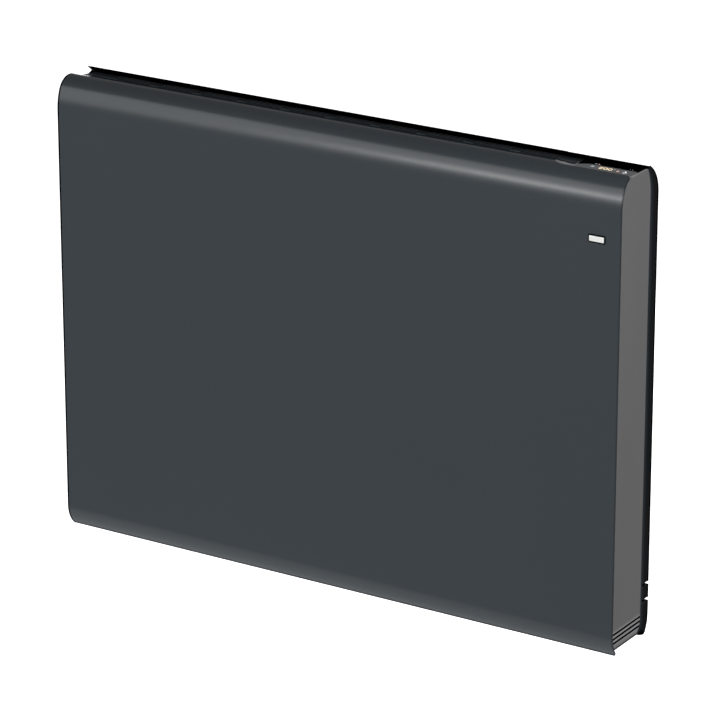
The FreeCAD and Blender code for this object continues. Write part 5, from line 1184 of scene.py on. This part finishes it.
for side, hand in HANDS:
    web_wall, web_lids = slab(hook_line, 0, side * HOOK_X - HOOK_HALF, side * HOOK_X + HOOK_HALF)
    foot_low, foot_high = sorted((side * HOOK_X, side * (HOOK_X - HOOK_FOOT)))
    hook_foot = box_line((foot_low, HINGE_Z + HOOK_R), (foot_high, HOOK_TOP), 0.0, 2.5)
    foot_wall, foot_lids = slab(hook_foot, 1, BACK_Y, BACK_Y + 2.0)
    piece(
        f"hook_{hand}", "zinc_steel", "heater", [web_wall, foot_wall], lids=web_lids + foot_lids, closed=True,
        node=f"hanger_hook_{hand}", edge=0.3,
    )

# %% [markdown]
# ## Keepers and levers
# Two levers on the bracket hold the heater upright by its keepers. A keeper is a strip bent twice. A
# lever is an elbow with a round boss; its outline is seen whole from the stud, so rings from the
# stud's hole to that outline make its two faces.

# %% Keepers and levers
KEEPER_BOARD, KEEPER_LOW, KEEPER_TOP, KEEPER_LIP = 1.4, LOCK_Z - 7.4, LOCK_Z + 6.0, -3.1
KEEPER_X, KEEPER_HALF, KEEPER_TAIL = 72.0, 8.0, 10.0
LEVER_FRONT, LEVER_BACK, LEVER_BOSS, LEVER_BORE, NOSE_TURN, HANDLE_TURN = -7.0, -5.0, 8.0, 3.06, 55, 35
keeper_y = BACK_Y + KEEPER_BOARD
keeper_line = rounded(
    [
        (keeper_y, KEEPER_LOW - KEEPER_TAIL), (keeper_y, KEEPER_LOW),
        (KEEPER_LIP, KEEPER_LOW), (KEEPER_LIP, KEEPER_TOP),
    ],
    [0.5, 2.2], 6, closed=False,
)
lever_line = np.concatenate([
    arc((33, -1), 3, 270, 360, 6), arc((33, 1), 3, 0, 90, 6), arc((0, 0), LEVER_BOSS, 30, 60, 5),
    arc((1, 39), 3, 0, 90, 6), arc((-1, 39), 3, 90, 180, 6), arc((0, 0), LEVER_BOSS, 120, 330, 25),
])
lever_bore = LEVER_BORE * unit(lever_line)
lever_rings = [
    (lever_bore, LEVER_FRONT), (lever_line, LEVER_FRONT), (lever_line, LEVER_BACK), (lever_bore, LEVER_BACK),
    (lever_bore, LEVER_FRONT),
]


def lever_ring(line, side, y):
    """A line of the lever in its own axes, nose and handle, turned to where the lever stands open."""
    angles = np.radians([90 + side * NOSE_TURN, 90 - side * HANDLE_TURN])
    x, z = ((side * LOCK_X, LOCK_Z) + line @ np.stack([np.cos(angles), np.sin(angles)], axis=1)).T
    return spread(x, y, z)


for side, hand in HANDS:
    keeper_x = side * KEEPER_X + np.linspace(KEEPER_HALF, -KEEPER_HALF, 5)
    piece(
        f"keeper_{hand}", "zinc_steel", "heater", [spread(keeper_x, keeper_line[:, :1], keeper_line[:, 1:])],
        node=f"lock_keeper_{hand}", wall=KEEPER_BOARD, edge=0.3,
    )
    lever_loops = np.stack([lever_ring(line, side, y) for line, y in lever_rings])
    piece(
        f"lever_{hand}", "lever_plastic", f"{hand}_lock", [wrapped(lever_loops)], closed=True,
        node=f"lock_lever_{hand}", edge=0.4, segments=3,
    )

# %% [markdown]
# ## Stage and light
# The heater hangs in front of plain white, so a pale floor well below it fills the frame. A broad
# soft box at the front left lays the long highlight on the shoulder, and a narrow strip under it
# brightens that line towards the right. A box from the right lights the end cap, one from behind the
# back, and one from below the chin. A dim grey room does the rest.

# %% Stage
scene = bpy.context.scene
FLOOR_HALF, FLOOR_Z = 20.0, -0.6
floor_finish = Finish("floor_white", base_color=(0.9, 0.9, 0.9, 1.0), roughness=0.9, emission_strength=1.0)
mottle = floor_finish.mix(floor_finish.spots(1.5), (1.02, 1.02, 1.02), (1.06, 1.06, 1.06))
floor_finish.feed(emission_color=mottle)
floor_mesh = bpy.data.meshes.new("floor")
floor_corners = [(x * FLOOR_HALF, y * FLOOR_HALF, FLOOR_Z) for x, y in ((-1, -1), (1, -1), (1, 1), (-1, 1))]
floor_mesh.from_pydata(floor_corners, [], [(0, 1, 2, 3)])
floor_mesh.materials.append(floor_finish.material)
floor = bpy.data.objects.new("floor", floor_mesh)
scene.collection.objects.link(floor)
floor.visible_glossy = False

scene.world = bpy.data.worlds.new("studio")
scene.world.use_nodes = True
sky = scene.world.node_tree
around = sky.nodes.new("ShaderNodeTexCoord")
axes = sky.nodes.new("ShaderNodeSeparateXYZ")
grey = sky.nodes.new("ShaderNodeMapRange")
for socket, value in {"From Min": -0.6, "From Max": 0.6, "To Min": 0.30, "To Max": 0.19}.items():
    grey.inputs[socket].default_value = value
sky.links.new(around.outputs["Generated"], axes.inputs[0])
sky.links.new(axes.outputs["Y"], grey.inputs["Value"])
sky.links.new(grey.outputs[0], sky.nodes["Background"].inputs["Color"])


def facing(right, back):
    """A turn that makes an object's own x point right and its z point back."""
    return Matrix(np.stack([right, np.cross(back, right), back], axis=1).tolist())


def soft_box(name, target, direction, distance, width, height, power):
    """A rectangular lamp at a distance from the target in a direction, turned to face the target."""
    lamp = bpy.data.lights.new(name, "AREA")
    lamp.shape = "RECTANGLE"
    lamp.size = width
    lamp.size_y = height
    lamp.energy = power
    box = bpy.data.objects.new(name, lamp)
    scene.collection.objects.link(box)
    aim = np.array(direction) / np.linalg.norm(direction)
    across = np.cross((0, 0, 1), aim)
    box.location = np.array(target) + distance * aim
    box.rotation_euler = facing(across / np.linalg.norm(across), aim).to_euler()
    print(name, "at", np.round(np.array(box.location), 2))


soft_box("front_left_box", (0, -0.08, 0.21), (-0.50, -0.80, 0.32), 2.6, 2.6, 1.6, 22)
soft_box("front_left_strip", (0.62, -0.08, 0.21), (-0.50, -0.80, 0.14), 2.2, 0.8, 0.14, 5.0)
soft_box("right_box", (0.3, -0.06, 0.0), (0.9, -0.35, 1.0), 0.95, 0.8, 0.8, 5.4)
soft_box("back_box", (0, 0, 0), (-0.5, 1.0, -0.2), 2.0, 1.2, 1.2, 12)
soft_box("low_box", (-0.22, -0.27, -0.2), (0.0, -0.02, -1.0), 0.37, 0.95, 0.62, 0.65)

# %% [markdown]
# ## Camera
# The camera stands where the lines of the picture meet: its place, its turn and its lens were fitted
# to the heater's edges beforehand.

# %% Camera
AZIMUTH, ELEVATION = np.radians(32.205), np.radians(19.883)
CAMERA_AT, LENS, SENSOR = (1.9022, -3.0498, 1.2739), 202.57, 36.0
camera_right = np.array([np.cos(AZIMUTH), np.sin(AZIMUTH), 0.0])
ahead = np.array([-np.sin(AZIMUTH), np.cos(AZIMUTH), 0.0])
camera_back = -ahead * np.cos(ELEVATION) + np.array([0.0, 0.0, np.sin(ELEVATION)])
lens = bpy.data.cameras.new("camera")
lens.lens = LENS
lens.sensor_width = SENSOR
lens.clip_end = 100.0
camera = bpy.data.objects.new("camera", lens)
scene.collection.objects.link(camera)
camera.rotation_euler = facing(camera_right, camera_back).to_euler()
camera.location = CAMERA_AT
scene.camera = camera
scene.view_settings.view_transform = "Standard"
print("camera at", tuple(round(value, 3) for value in camera.location))
